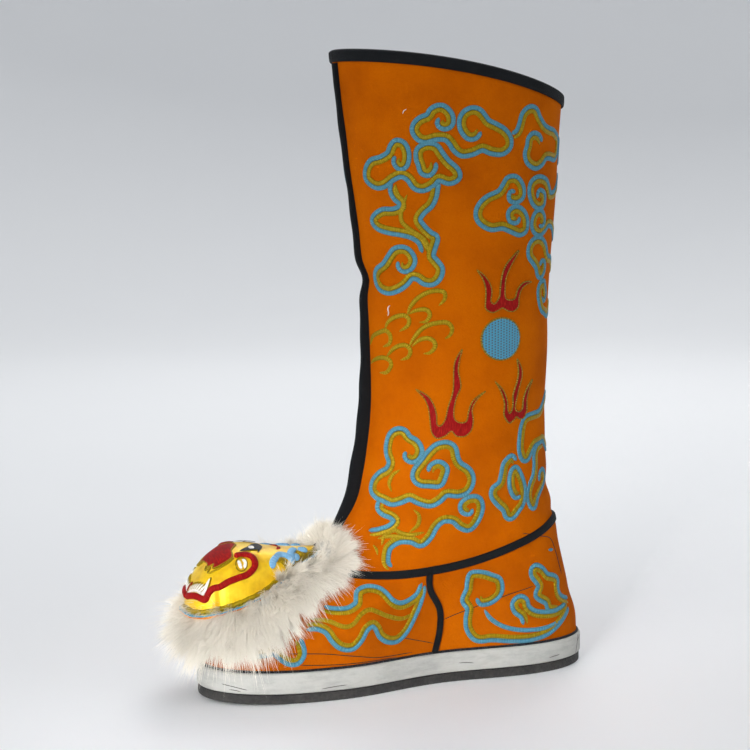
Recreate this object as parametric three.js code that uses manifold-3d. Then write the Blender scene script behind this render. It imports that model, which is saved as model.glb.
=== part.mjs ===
// Tiger head boot: a stage boot of padded cloth on a flat, layered sole, with a stuffed tiger head and a
// fur trim on its toe. Right boot. Millimetres, +Z up, +X from heel to toe, +Y to the inner side.
// The origin is on the floor, under the middle of the shaft.
import * as THREE from "three";
import Module from "manifold-3d";

const wasm = await Module();
wasm.setup();

// Driving sizes of the last and the shaft.
const UPPER_LENGTH = 267; // heel to toe tip, along the seam with the sole
const BALL_WIDTH = 94; // across the ball of the foot, at that seam
const INSTEP_HEIGHT = 80; // top of the vamp above the sole, where the shaft starts
const SHAFT_HEIGHT = 385; // front of the collar above the sole
const COLLAR_DEPTH = 154; // front to back at the collar
const COLLAR_WIDTH = 112; // side to side at the collar
const ORIGIN_FROM_HEEL = 84; // the shaft's middle, forward of the heel
const TOE_SPRING = 2; // lift of the toe tip off the floor
const TOE_SWING = 10; // shift of the toe tip to the inner side
const WAIST_BOW = 2; // shift of the waist to the outer side
const TOE_START = 0.72; // where the toe's lift and swing begin, as a share of UPPER_LENGTH
const WAIST_PLACE = 0.45; // middle of the waist's bow, as a share of UPPER_LENGTH
const WAIST_SPREAD = 0.18; // how far the bow reaches each way, as a share of UPPER_LENGTH

// Driving sizes of the materials.
const UPPER_WALL = 2.4; // felted wool on a pasted cloth lining
const OUTSOLE_THICKNESS = 6;
const MIDSOLE_THICKNESS = 13.5;
const INSOLE_THICKNESS = 3;
const MIDSOLE_MARGIN = 2.6; // how far the midsole stands out past the upper
const OUTSOLE_INSET = 0.8; // how far the outsole stays inside the midsole
const MIDSOLE_ROUND = 1.6; // rounding of the rims
const OUTSOLE_ROUND = 1;
const INSOLE_ROUND = 0.5;
const BINDING_THICKNESS = 1.4; // black tape, over the felt
const BINDING_WIDTH = 5.4; // of the flat tapes
const TAPE_SHOULDER = 0.6; // where a tape's rounded shoulders begin, as a share of its half width and rise
const COLLAR_LIP = 6; // how far the collar tape reaches down both faces of the wall
const RIDGE_DEPTH = 9; // how far the front ridge stands out at the ankle
const RIDGE_THICKNESS = 4.4;
const RIDGE_CROWN = 0.5; // flat of the ridge's rounded edge, as a share of its thickness
const PIECE_GAP = 0.3; // between pieces that meet

// Driving sizes of the stuffed head and of the fur around it.
const HEAD_LENGTH = 90; // from the tip of its neck to the snout
const HEAD_WIDTH = 60;
const HEAD_HEIGHT = 31; // of the dome, above its rim
const SNOUT_OVERHANG = 11; // past the tip of the toe
const RIM_WIDTH = 4.5; // of the layered collar that stands out under the head
const RIM_TUCK = 4; // how far it reaches in under the head
const RIM_DROP = 4; // how far its edge hangs below its root
const RIM_THICKNESS = 2.6;
const FUR_WIDTH = 28; // of the fur strip's backing
const FUR_DEPTH = 12; // of its dense underfur
const LOCK_LENGTH = 16;
const LOCK_RADIUS = 6.5;
const LOCK_POINT = 0.25; // radius at the tip, as a share of LOCK_RADIUS
const LOCK_ROOT = 0.4; // how far out and away the roots sit, as a share of the underfur's depth and width
const LOCK_DROOP = 0.15; // how far a tip hangs, as a share of its lock's length
const LOCK_TURNS = [-30, 25, 65]; // degrees from straight out of the upper to straight away from the head
const LOCK_SWAY = 14; // degrees that neighbouring locks differ
const LOCK_VARIATION = 0.15; // how much shorter or longer a lock is, as a share of LOCK_LENGTH

// Fineness of the facets.
const AROUND = 40;
const LEVELS_PER_ROW = 2;
const STRIP_STEPS = 48;
const HEAD_AROUND = 18;
const FUR_STEPS = 20;
const FUR_SIDES = 8;
const LOCK_SIDES = 5;
const SIDE_STEPS = 9;
const RIDGE_STEPS = 20;
const CUT_TOLERANCE = 0.08; // how far a corner may move where a cut leaves slivers

const soleTop = OUTSOLE_THICKNESS + PIECE_GAP + MIDSOLE_THICKNESS;
const upperBase = soleTop + PIECE_GAP;

// Sections of the upper, bottom to top. In the foot, front and back are shares of UPPER_LENGTH from the
// heel, their rises are shares of INSTEP_HEIGHT, and the spans are shares of BALL_WIDTH.
const FOOT_ROWS = [
  { front: 1.0, frontRise: 0.0, back: 0.002, backRise: 0.0, heel: 0.55, waist: 0.37, ball: 0.535, toe: 0.66 },
  { front: 1.004, frontRise: 0.19, back: 0.008, backRise: 0.17, heel: 0.57, waist: 0.38, ball: 0.55, toe: 0.66 },
  { front: 0.98, frontRise: 0.4, back: 0.024, backRise: 0.34, heel: 0.57, waist: 0.39, ball: 0.54, toe: 0.6 },
  { front: 0.91, frontRise: 0.56, back: 0.036, backRise: 0.5, heel: 0.55, waist: 0.4, ball: 0.48, toe: 0.47 },
  { front: 0.79, frontRise: 0.7, back: 0.048, backRise: 0.66, heel: 0.51, waist: 0.405, ball: 0.41, toe: 0.4 },
  { front: 0.69, frontRise: 0.83, back: 0.06, backRise: 0.82, heel: 0.48, waist: 0.41, ball: 0.395, toe: 0.37 },
  { front: 0.637, frontRise: 1.0, back: 0.069, backRise: 0.98, heel: 0.46, waist: 0.42, ball: 0.4, toe: 0.37 },
];
// In the shaft, rises are shares of SHAFT_HEIGHT, front and back are shares of COLLAR_DEPTH from the
// origin's line, the width is a share of COLLAR_WIDTH, and the crown is how far the sides stand above the
// slant from back to front, a share of SHAFT_HEIGHT.
const SHAFT_ROWS = [
  { frontRise: 0.27, backRise: 0.25, front: 0.481, back: -0.397, width: 0.75, crown: 0 },
  { frontRise: 0.345, backRise: 0.32, front: 0.446, back: -0.374, width: 0.785, crown: 0 },
  { frontRise: 0.44, backRise: 0.415, front: 0.425, back: -0.369, width: 0.805, crown: 0.002 },
  { frontRise: 0.57, backRise: 0.54, front: 0.441, back: -0.378, width: 0.83, crown: 0.004 },
  { frontRise: 0.7, backRise: 0.655, front: 0.475, back: -0.386, width: 0.875, crown: 0.006 },
  { frontRise: 0.835, backRise: 0.78, front: 0.53, back: -0.406, width: 0.945, crown: 0.009 },
  { frontRise: 1.0, backRise: 0.925, front: 0.578, back: -0.427, width: 1.0, crown: 0.012 },
];

// One section in millimetres, from the origin's line and the bottom of the upper.
const sections = [
  ...FOOT_ROWS.map((row) => ({
    frontX: row.front * UPPER_LENGTH - ORIGIN_FROM_HEEL,
    frontZ: row.frontRise * INSTEP_HEIGHT,
    backX: row.back * UPPER_LENGTH - ORIGIN_FROM_HEEL,
    backZ: row.backRise * INSTEP_HEIGHT,
    heel: row.heel * BALL_WIDTH,
    waist: row.waist * BALL_WIDTH,
    ball: row.ball * BALL_WIDTH,
    toe: row.toe * BALL_WIDTH,
    crown: 0,
  })),
  ...SHAFT_ROWS.map((row) => ({
    frontX: row.front * COLLAR_DEPTH,
    frontZ: row.frontRise * SHAFT_HEIGHT,
    backX: row.back * COLLAR_DEPTH,
    backZ: row.backRise * SHAFT_HEIGHT,
    heel: (row.width * COLLAR_WIDTH) / 2,
    waist: (row.width * COLLAR_WIDTH) / 2,
    ball: (row.width * COLLAR_WIDTH) / 2,
    toe: (row.width * COLLAR_WIDTH) / 2,
    crown: row.crown * SHAFT_HEIGHT,
  })),
];
const TOP_ROW = sections.length - 1;

// Where the four spans apply along a section, from back to front.
const SPAN_PLACES = [0, 0.4, 0.7, 1];

// Smooth curve through evenly spaced values.
function throughValues(values, place) {
  const last = values.length - 1;
  const start = Math.min(Math.max(Math.floor(place), 0), last - 1);
  const t = place - start;
  const before = values[Math.max(start - 1, 0)];
  const after = values[Math.min(start + 2, last)];
  const from = values[start];
  const to = values[start + 1];
  const slopeFrom = start > 0 ? (to - before) / 2 : to - from;
  const slopeTo = start + 2 <= last ? (after - from) / 2 : to - from;
  return (
    (2 * t ** 3 - 3 * t ** 2 + 1) * from +
    (t ** 3 - 2 * t ** 2 + t) * slopeFrom +
    (3 * t ** 2 - 2 * t ** 3) * to +
    (t ** 3 - t ** 2) * slopeTo
  );
}

// Smooth curve through values at uneven places, with level ends.
function throughPlaces(places, values, at) {
  let i = 0;
  while (i < places.length - 2 && at > places[i + 1]) i += 1;
  const slope = (k) =>
    k <= 0 || k >= places.length - 1
      ? 0
      : (values[k + 1] - values[k - 1]) / (places[k + 1] - places[k - 1]);
  const width = places[i + 1] - places[i];
  const t = (at - places[i]) / width;
  return (
    (2 * t ** 3 - 3 * t ** 2 + 1) * values[i] +
    (t ** 3 - 2 * t ** 2 + t) * width * slope(i) +
    (3 * t ** 2 - 2 * t ** 3) * values[i + 1] +
    (t ** 3 - t ** 2) * width * slope(i + 1)
  );
}

function smoothStep(low, high, value) {
  const t = Math.min(Math.max((value - low) / (high - low), 0), 1);
  return t * t * (3 - 2 * t);
}

// The last's own curve: the toe lifts and swings inwards, and the waist bows outwards. It fades out up
// the ankle, so the shaft stays straight.
function onLast(point) {
  const along = (point.x + ORIGIN_FROM_HEEL) / UPPER_LENGTH;
  const toeShare = Math.max(along - TOE_START, 0) / (1 - TOE_START);
  const footShare = 1 - smoothStep(INSTEP_HEIGHT, 2 * INSTEP_HEIGHT, point.z);
  const waistShare = Math.exp(-(((along - WAIST_PLACE) / WAIST_SPREAD) ** 2));
  point.z += TOE_SPRING * toeShare ** 2;
  point.y += footShare * (TOE_SWING * toeShare ** 2 - WAIST_BOW * waistShare);
  return point;
}

// A point of the upper's outer face, before the last's curve. Level counts rows from the bottom, and the
// angle runs from the front (0) over the inner side to the back (half a turn).
function facePoint(level, angle) {
  const value = (name) => throughValues(sections.map((s) => s[name]), level);
  const share = (1 + Math.cos(angle)) / 2;
  const spans = ["heel", "waist", "ball", "toe"].map(value);
  const x = value("backX") + share * (value("frontX") - value("backX"));
  const slant = value("backZ") + share * (value("frontZ") - value("backZ"));
  const z = slant + value("crown") * Math.sin(angle) ** 2;
  return new THREE.Vector3(x, Math.sin(angle) * throughPlaces(SPAN_PLACES, spans, share), upperBase + z);
}

// The same point moved outwards by a distance, then set on the last.
const STEP = 0.01;
function upperPoint(level, angle, outwards = 0) {
  const low = Math.max(level - STEP, 0);
  const high = Math.min(level + STEP, TOP_ROW);
  const up = facePoint(high, angle).sub(facePoint(low, angle));
  const round = facePoint(level, angle + STEP).sub(facePoint(level, angle - STEP));
  const normal = round.cross(up);
  if (level === 0) normal.z = 0;
  return onLast(facePoint(level, angle).addScaledVector(normal.normalize(), outwards));
}

// A closed body through rings of equal count. Looped, the last ring joins the first; otherwise each end
// is closed by rungs between facing points of its ring.
function loft(rings, looped = false) {
  const count = rings[0].length;
  const corners = rings.flat().flatMap((p) => [p.x, p.y, p.z]);
  const faces = [];
  const quad = (a, b, c, d) => faces.push(a, b, c, a, c, d);
  const joined = looped ? rings.length : rings.length - 1;
  for (let i = 0; i < joined; i += 1) {
    const here = i * count;
    const next = ((i + 1) % rings.length) * count;
    for (let j = 0; j < count; j += 1) {
      const k = (j + 1) % count;
      quad(here + j, here + k, next + k, next + j);
    }
  }
  const close = (base, reversed) => {
    for (let j = 0; j < Math.floor(count / 2); j += 1) {
      const rung = [j, j + 1, count - 1 - j, (count - j) % count].map((k) => base + k);
      const corner = [...new Set(rung)];
      if (reversed) corner.reverse();
      if (corner.length === 4) quad(...corner);
      if (corner.length === 3) faces.push(...corner);
    }
  };
  if (!looped) {
    close(0, true);
    close((rings.length - 1) * count, false);
  }
  const geometry = new THREE.BufferGeometry();
  geometry.setAttribute("position", new THREE.Float32BufferAttribute(corners, 3));
  geometry.setIndex(faces);
  return facingOut(geometry);
}

// Turns the faces round where a body is inside out.
function facingOut(geometry) {
  const p = geometry.getAttribute("position");
  const index = Array.from(geometry.index.array);
  let volume = 0;
  const [a, b, c] = [new THREE.Vector3(), new THREE.Vector3(), new THREE.Vector3()];
  for (let i = 0; i < index.length; i += 3) {
    a.fromBufferAttribute(p, index[i]);
    b.fromBufferAttribute(p, index[i + 1]);
    c.fromBufferAttribute(p, index[i + 2]);
    volume += a.dot(b.cross(c));
  }
  if (volume < 0) {
    for (let i = 0; i < index.length; i += 3) [index[i + 1], index[i + 2]] = [index[i + 2], index[i + 1]];
    geometry.setIndex(index);
  }
  return geometry;
}

// Cutting and joining: the closed body as a solid, and back.
function asSolid(geometry) {
  const vertProperties = new Float32Array(geometry.getAttribute("position").array);
  const triVerts = new Uint32Array(geometry.index.array);
  return new wasm.Manifold(new wasm.Mesh({ numProp: 3, vertProperties, triVerts }));
}

function asGeometry(solid) {
  const { vertProperties, triVerts } = solid.getMesh();
  const geometry = new THREE.BufferGeometry();
  geometry.setAttribute("position", new THREE.BufferAttribute(new Float32Array(vertProperties), 3));
  geometry.setIndex(Array.from(triVerts));
  return geometry;
}

// What is left of a body after the others are cut from it, without loose crumbs.
function cut(geometry, ...others) {
  const rest = others.reduce((solid, other) => solid.subtract(asSolid(other)), asSolid(geometry));
  const [largest] = rest.decompose().sort((a, b) => b.volume() - a.volume());
  return asGeometry(largest.asOriginal().simplify(CUT_TOLERANCE));
}

const angles = Array.from({ length: AROUND }, (_, i) => (i / AROUND) * 2 * Math.PI);
const levels = Array.from({ length: TOP_ROW * LEVELS_PER_ROW + 1 }, (_, i) => i / LEVELS_PER_ROW);

function upperRings(outwards) {
  return levels.map((level) => angles.map((angle) => upperPoint(level, angle, outwards)));
}

// Upper: one hollow wall, open at the collar and underneath.
function makeUpper() {
  return loft([...upperRings(0), ...upperRings(-UPPER_WALL).reverse()], true);
}

// The upper as a full form, grown by the gap: what lies on the upper is cut by it.
const upperForm = loft(upperRings(PIECE_GAP));

// A flat layer of the sole, in the outline of the upper's bottom edge.
function makeLayer(bottom, top, margin, rounding) {
  const ring = (z, outwards) =>
    angles.map((angle) => {
      const p = upperPoint(0, angle, outwards);
      p.z += z - upperBase;
      return p;
    });
  return loft([
    ring(bottom, margin - rounding),
    ring(bottom + rounding, margin),
    ring(top - rounding, margin),
    ring(top, margin - rounding),
  ]);
}

// The sole as one form, grown by the gap.
const soleForm = makeLayer(OUTSOLE_THICKNESS, upperBase, MIDSOLE_MARGIN + PIECE_GAP, MIDSOLE_ROUND);

// The level at which the upper's face has a height above its bottom edge, at an angle.
function levelAt(height, angle) {
  let [low, high] = [0, TOP_ROW];
  for (let i = 0; i < 30; i += 1) {
    const middle = (low + high) / 2;
    if (facePoint(middle, angle).z - upperBase < height) low = middle;
    else high = middle;
  }
  return (low + high) / 2;
}

// Place on the upper's face with its outward direction.
function seatAt(level, angle) {
  const point = upperPoint(level, angle);
  return { point, out: upperPoint(level, angle, 1).sub(point).normalize() };
}

// A strip swept along places on the upper. The section gives its corners, across the strip and outwards.
function sweep(seats, section, looped) {
  const rings = seats.map((seat, i) => {
    const before = seats[looped ? (i + seats.length - 1) % seats.length : Math.max(i - 1, 0)];
    const after = seats[looped ? (i + 1) % seats.length : Math.min(i + 1, seats.length - 1)];
    const along = after.point.clone().sub(before.point);
    const across = seat.out.clone().cross(along).normalize();
    return section(seat, i / (seats.length - 1)).map(([side, out]) =>
      seat.point.clone().addScaledVector(across, side).addScaledVector(seat.out, out),
    );
  });
  return loft(rings, looped);
}

// Section of a flat tape with rounded shoulders, its back sunk in the upper until it is cut to it.
function tapeSection(grown = 0) {
  const half = BINDING_WIDTH / 2 + grown;
  const rise = PIECE_GAP + BINDING_THICKNESS + grown;
  return [
    [-half, -BINDING_THICKNESS],
    [-half, TAPE_SHOULDER * rise],
    [-TAPE_SHOULDER * half, rise],
    [TAPE_SHOULDER * half, rise],
    [half, TAPE_SHOULDER * rise],
    [half, -BINDING_THICKNESS],
  ];
}

// Height of the seam between shaft and vamp above the upper's bottom edge, at even angles from front to
// back, as shares of INSTEP_HEIGHT.
const SEAM_RISES = [0.8, 0.745, 0.68, 0.7, 0.86, 0.98, 1.0];

function seamHeight(angle) {
  const turn = Math.acos(Math.cos(angle)) / Math.PI;
  return throughValues(SEAM_RISES, turn * (SEAM_RISES.length - 1)) * INSTEP_HEIGHT;
}

// Tape over that seam, all round the boot.
function makeSeamBinding(grown = 0) {
  const seats = Array.from({ length: STRIP_STEPS }, (_, i) => {
    const angle = (i / STRIP_STEPS) * 2 * Math.PI;
    return seatAt(levelAt(seamHeight(angle), angle), angle);
  });
  return sweep(seats, () => tapeSection(grown), true);
}

// Tape over the joint of vamp and heel counter, from the sole up to the seam: its angle in degrees at
// even heights. Side is 1 on the inner face and -1 on the outer one.
const SIDE_ANGLES = [97, 99, 98.5, 92, 84];

function makeSideBinding(side) {
  const seats = Array.from({ length: SIDE_STEPS }, (_, i) => {
    const share = i / (SIDE_STEPS - 1);
    const turn = throughValues(SIDE_ANGLES, share * (SIDE_ANGLES.length - 1)) * THREE.MathUtils.DEG2RAD;
    const angle = side * turn;
    return seatAt(levelAt(share * seamHeight(turn), angle), angle);
  });
  return cut(sweep(seats, () => tapeSection(), false), upperForm, soleForm, makeSeamBinding(PIECE_GAP));
}

// Bound ridge where the two halves of the shaft are sewn together in front: how far it stands out from
// the seam up to the collar, as shares of RIDGE_DEPTH.
const RIDGE_DEPTHS = [0.45, 1.0, 0.8, 0.5, 0.36, 0.34, 0.34];

function makeRidge(grown = 0) {
  const bottom = seamHeight(0) - grown;
  const top = SHAFT_HEIGHT - COLLAR_LIP - 2 * PIECE_GAP;
  const seats = Array.from({ length: RIDGE_STEPS + 1 }, (_, i) =>
    seatAt(levelAt(bottom + (i / RIDGE_STEPS) * (top - bottom), 0), 0),
  );
  const half = RIDGE_THICKNESS / 2 + grown;
  const section = (_, share) => {
    const depth = throughValues(RIDGE_DEPTHS, share * (RIDGE_DEPTHS.length - 1)) * RIDGE_DEPTH + grown;
    const shoulder = Math.max(depth - RIDGE_CROWN * half, depth / 2);
    return [
      [-half, -RIDGE_THICKNESS],
      [-half, shoulder],
      [-RIDGE_CROWN * half, depth],
      [RIDGE_CROWN * half, depth],
      [half, shoulder],
      [half, -RIDGE_THICKNESS],
    ];
  };
  return sweep(seats, section, false);
}

// Tape folded over the collar's edge, with a lip down each face of the wall.
function makeCollarBinding() {
  const outer = PIECE_GAP + BINDING_THICKNESS;
  const middle = -UPPER_WALL / 2;
  const inner = -UPPER_WALL - outer;
  const section = [
    [PIECE_GAP, -COLLAR_LIP],
    [outer, -COLLAR_LIP],
    [outer, 0],
    [(outer + middle) / 2, outer],
    [(inner + middle) / 2, outer],
    [inner, 0],
    [inner, -COLLAR_LIP],
    [-UPPER_WALL - PIECE_GAP, -COLLAR_LIP],
    [-UPPER_WALL - PIECE_GAP, PIECE_GAP],
    [PIECE_GAP, PIECE_GAP],
  ];
  const rings = angles.map((angle) => {
    const { point, out } = seatAt(TOP_ROW, angle);
    const up = point.clone().sub(upperPoint(TOP_ROW - 2 * STEP, angle)).normalize();
    return section.map(([n, u]) => point.clone().addScaledVector(out, n).addScaledVector(up, u));
  });
  return loft(rings, true);
}

// Sections of the head, from the tip of its neck to the snout. Along is a share of HEAD_LENGTH, the rim's
// rise above the upper's bottom edge a share of INSTEP_HEIGHT, the dome above the rim and the underside
// below it shares of HEAD_HEIGHT, and the span to each side a share of HEAD_WIDTH.
const HEAD_ROWS = [
  { along: 0.0, rim: 0.83, dome: 0.11, under: 0.1, span: 0.05 },
  { along: 0.1, rim: 0.8, dome: 0.19, under: 0.13, span: 0.15 },
  { along: 0.2, rim: 0.765, dome: 0.29, under: 0.16, span: 0.27 },
  { along: 0.34, rim: 0.7, dome: 0.5, under: 0.2, span: 0.4 },
  { along: 0.5, rim: 0.605, dome: 0.84, under: 0.27, span: 0.485 },
  { along: 0.66, rim: 0.54, dome: 0.98, under: 0.34, span: 0.5 },
  { along: 0.8, rim: 0.49, dome: 0.9, under: 0.36, span: 0.44 },
  { along: 0.91, rim: 0.455, dome: 0.69, under: 0.28, span: 0.335 },
  { along: 0.975, rim: 0.44, dome: 0.43, under: 0.16, span: 0.21 },
  { along: 1.0, rim: 0.445, dome: 0.16, under: 0.06, span: 0.09 },
];
const HEAD_SQUARENESS = 0.8; // below 1 the sections are fuller than an ellipse

function headSection(place) {
  const value = (name) => throughValues(HEAD_ROWS.map((row) => row[name]), place);
  const snout = UPPER_LENGTH - ORIGIN_FROM_HEEL + SNOUT_OVERHANG;
  return {
    x: snout - (1 - value("along")) * HEAD_LENGTH,
    rim: upperBase + value("rim") * INSTEP_HEIGHT,
    dome: value("dome") * HEAD_HEIGHT,
    under: value("under") * HEAD_HEIGHT,
    span: value("span") * HEAD_WIDTH,
  };
}

const headPlaces = Array.from({ length: 2 * HEAD_ROWS.length - 1 }, (_, i) => i / 2);

function makeHead(grown = 0) {
  const full = (value) => Math.sign(value) * Math.abs(value) ** HEAD_SQUARENESS;
  const rings = headPlaces.map((place, i) => {
    const section = headSection(place);
    const last = i === headPlaces.length - 1;
    const x = section.x + (last ? grown : 0) - (i === 0 ? grown : 0);
    return Array.from({ length: HEAD_AROUND }, (_, j) => {
      const turn = (j / HEAD_AROUND) * 2 * Math.PI;
      const lift = Math.sin(turn) > 0 ? section.dome : section.under;
      const y = full(Math.cos(turn)) * (section.span + grown);
      return onLast(new THREE.Vector3(x, y, section.rim + full(Math.sin(turn)) * (lift + grown)));
    });
  });
  return loft(rings);
}

// Layered collar that stands out under the head's rim, sloping down to its edge.
function makeHeadRim(grown = 0) {
  const rimPoint = (place, side) => {
    const { x, rim, span } = headSection(place);
    return onLast(new THREE.Vector3(x, side * span, rim));
  };
  const line = [
    ...headPlaces.map((place) => rimPoint(place, 1)),
    ...[...headPlaces].reverse().map((place) => rimPoint(place, -1)),
  ];
  const seats = line.map((point) => ({ point, out: new THREE.Vector3(0, 0, 1) }));
  const low = -RIM_THICKNESS - grown;
  const section = [
    [RIM_WIDTH + grown, low - RIM_DROP],
    [RIM_WIDTH + grown, grown - RIM_DROP],
    [-RIM_TUCK, grown],
    [-RIM_TUCK, low],
  ];
  return sweep(seats, () => section, true);
}

// Middle line of the fur strip on one side, from the toe round the head to the front of the ankle: its
// angle in degrees, its height above the upper's bottom edge as a share of INSTEP_HEIGHT, and its width
// as a share of FUR_WIDTH.
const FUR_ROWS = [
  { angle: 0, height: 0.27, width: 1.0 },
  { angle: 28, height: 0.3, width: 1.0 },
  { angle: 43, height: 0.4, width: 1.0 },
  { angle: 52, height: 0.54, width: 1.0 },
  { angle: 45, height: 0.7, width: 0.9 },
  { angle: 24, height: 0.83, width: 0.7 },
  { angle: 0, height: 0.85, width: 0.6 },
];
const furLoop = [
  ...FUR_ROWS,
  ...FUR_ROWS.slice(0, -1)
    .reverse()
    .map((row) => ({ ...row, angle: -row.angle })),
];

function furSeat(place) {
  const value = (name) => throughValues(furLoop.map((row) => row[name]), place);
  const angle = value("angle") * THREE.MathUtils.DEG2RAD;
  return { ...seatAt(levelAt(value("height") * INSTEP_HEIGHT, angle), angle), width: value("width") };
}

// A lock: a pointed body from its root to its tip. No lock points along ASKEW.
const ASKEW = new THREE.Vector3(-1, 0, 1);
function makeLock(root, tip) {
  const along = tip.clone().sub(root).normalize();
  const across = ASKEW.clone().cross(along).normalize();
  const third = along.clone().cross(across);
  const ring = (centre, radius) =>
    Array.from({ length: LOCK_SIDES }, (_, j) => {
      const turn = (j / LOCK_SIDES) * 2 * Math.PI;
      return centre
        .clone()
        .addScaledVector(across, radius * Math.cos(turn))
        .addScaledVector(third, radius * Math.sin(turn));
    });
  return loft([ring(root, LOCK_RADIUS), ring(tip, LOCK_POINT * LOCK_RADIUS)]);
}

// Fur trim: a dense strip of underfur, with locks fused on that point away from the head and droop.
function makeFur(others) {
  const count = furLoop.length - 1;
  const seats = Array.from({ length: FUR_STEPS }, (_, i) => furSeat((i / FUR_STEPS) * count));
  const underfurSection = (seat) =>
    Array.from({ length: FUR_SIDES }, (_, j) => {
      const turn = (j / FUR_SIDES) * 2 * Math.PI;
      return [(Math.cos(turn) * seat.width * FUR_WIDTH) / 2, Math.sin(turn) * FUR_DEPTH];
    });
  const underfur = sweep(seats, underfurSection, true);
  const locks = seats.flatMap((seat, i) => {
    const before = seats[(i + FUR_STEPS - 1) % FUR_STEPS].point;
    const after = seats[(i + 1) % FUR_STEPS].point;
    const away = after.clone().sub(before).cross(seat.out).normalize();
    return LOCK_TURNS.map((degrees, k) => {
      const uneven = Math.sin(7 * i + 3 * k);
      const turn = (degrees + LOCK_SWAY * uneven) * THREE.MathUtils.DEG2RAD;
      const reach = LOCK_LENGTH * seat.width * (1 + LOCK_VARIATION * uneven);
      const heading = seat.out.clone().multiplyScalar(Math.cos(turn)).addScaledVector(away, Math.sin(turn));
      const root = seat.point
        .clone()
        .addScaledVector(away, LOCK_ROOT * Math.sin(turn) * seat.width * FUR_WIDTH)
        .addScaledVector(seat.out, LOCK_ROOT * FUR_DEPTH);
      const tip = root.clone().addScaledVector(heading, reach);
      tip.z -= LOCK_DROOP * reach;
      return makeLock(root, tip);
    });
  });
  const joined = wasm.Manifold.union([underfur, ...locks].map(asSolid));
  return cut(asGeometry(joined), ...others);
}

const COLOURS = {
  felt: 0xd9740a,
  white: 0xdfe2e3,
  black: 0x17191c,
  satin: 0xe8b81e,
  blue: 0x4f9dc8,
  fur: 0xedeae2,
};

const boot = new THREE.Group();
function addPiece(name, geometry, color, roughness) {
  const mesh = new THREE.Mesh(geometry, new THREE.MeshStandardMaterial({ color, roughness, metalness: 0 }));
  mesh.name = name;
  boot.add(mesh);
}

const aroundHead = [upperForm, makeSeamBinding(PIECE_GAP), makeRidge(PIECE_GAP)];
const aroundFur = [makeHead(PIECE_GAP), makeHeadRim(PIECE_GAP), soleForm, ...aroundHead];
const midsoleBase = OUTSOLE_THICKNESS + PIECE_GAP;
const insoleTop = upperBase + INSOLE_THICKNESS;
const insoleMargin = -UPPER_WALL - PIECE_GAP;
const outsoleMargin = MIDSOLE_MARGIN - OUTSOLE_INSET;

addPiece("upper", makeUpper(), COLOURS.felt, 0.85);
addPiece("midsole", makeLayer(midsoleBase, soleTop, MIDSOLE_MARGIN, MIDSOLE_ROUND), COLOURS.white, 0.6);
addPiece("outsole", makeLayer(0, OUTSOLE_THICKNESS, outsoleMargin, OUTSOLE_ROUND), COLOURS.black, 0.8);
addPiece("insole", makeLayer(upperBase, insoleTop, insoleMargin, INSOLE_ROUND), COLOURS.white, 0.9);
addPiece("collar_binding", makeCollarBinding(), COLOURS.black, 0.8);
addPiece("front_ridge", cut(makeRidge(), upperForm, makeSeamBinding(PIECE_GAP)), COLOURS.black, 0.8);
addPiece("seam_binding", cut(makeSeamBinding(), upperForm), COLOURS.black, 0.8);
addPiece("side_binding_inner", makeSideBinding(1), COLOURS.black, 0.8);
addPiece("side_binding_outer", makeSideBinding(-1), COLOURS.black, 0.8);
addPiece("tiger_head", cut(makeHead(), ...aroundHead), COLOURS.satin, 0.35);
addPiece("head_rim", cut(makeHeadRim(), makeHead(PIECE_GAP), ...aroundHead), COLOURS.blue, 0.6);
addPiece("fur_trim", makeFur(aroundFur), COLOURS.fur, 1);

export default boot;
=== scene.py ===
"""Tiger head boot: a tall stage boot of padded orange cloth, with applied cloud scrolls on its felt and a
stuffed tiger head with a fur trim on its toe. One right boot, standing on a pale floor."""
import math

import bpy
import numpy as np
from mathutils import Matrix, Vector
from mathutils.geometry import delaunay_2d_cdt


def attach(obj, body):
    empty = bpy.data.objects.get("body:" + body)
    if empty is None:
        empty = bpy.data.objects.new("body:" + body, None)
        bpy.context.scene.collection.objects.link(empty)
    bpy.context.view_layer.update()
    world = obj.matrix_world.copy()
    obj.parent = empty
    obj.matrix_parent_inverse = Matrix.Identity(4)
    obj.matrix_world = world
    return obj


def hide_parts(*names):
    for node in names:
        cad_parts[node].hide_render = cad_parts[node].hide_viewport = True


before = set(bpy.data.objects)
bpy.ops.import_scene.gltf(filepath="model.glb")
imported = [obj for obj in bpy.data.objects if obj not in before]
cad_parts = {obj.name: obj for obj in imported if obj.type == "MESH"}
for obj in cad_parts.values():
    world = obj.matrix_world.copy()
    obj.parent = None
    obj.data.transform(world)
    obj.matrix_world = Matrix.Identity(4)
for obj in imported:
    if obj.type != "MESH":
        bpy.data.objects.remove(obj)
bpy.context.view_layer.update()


# Camera, floor and light: the boot is seen from its inner side, turned a little towards the toe, from the
# height of its collar. The pale floor is flat round the boot and rises gently far out, under soft lamps.
MM = 0.001
CAMERA_PLACE = (528.8, 1187.6, 345.3)  # millimetres from the boot's origin
CAMERA_AIM = (62.0, 0.0, 199.0)  # middle of the boot
LENS = 95.2
SENSOR = 36.0
NEAREST = 0.05
FLOOR_COLOUR = (0.86, 0.865, 0.875)
FLOOR_PALER = (0.88, 0.885, 0.89)
FLOOR_SIZE = 12.0
FLOOR_CELLS = 60
FLAT_RADIUS = 2.2
FLOOR_RISE = 0.4
SKY_COLOUR = (0.93, 0.96, 1.0, 1.0)
SKY_STRENGTH = 0.6
BOOT_MIDDLE = (0.05, 0.0, 0.18)
TOE_MIDDLE = (0.1, 0.04, 0.05)
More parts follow.
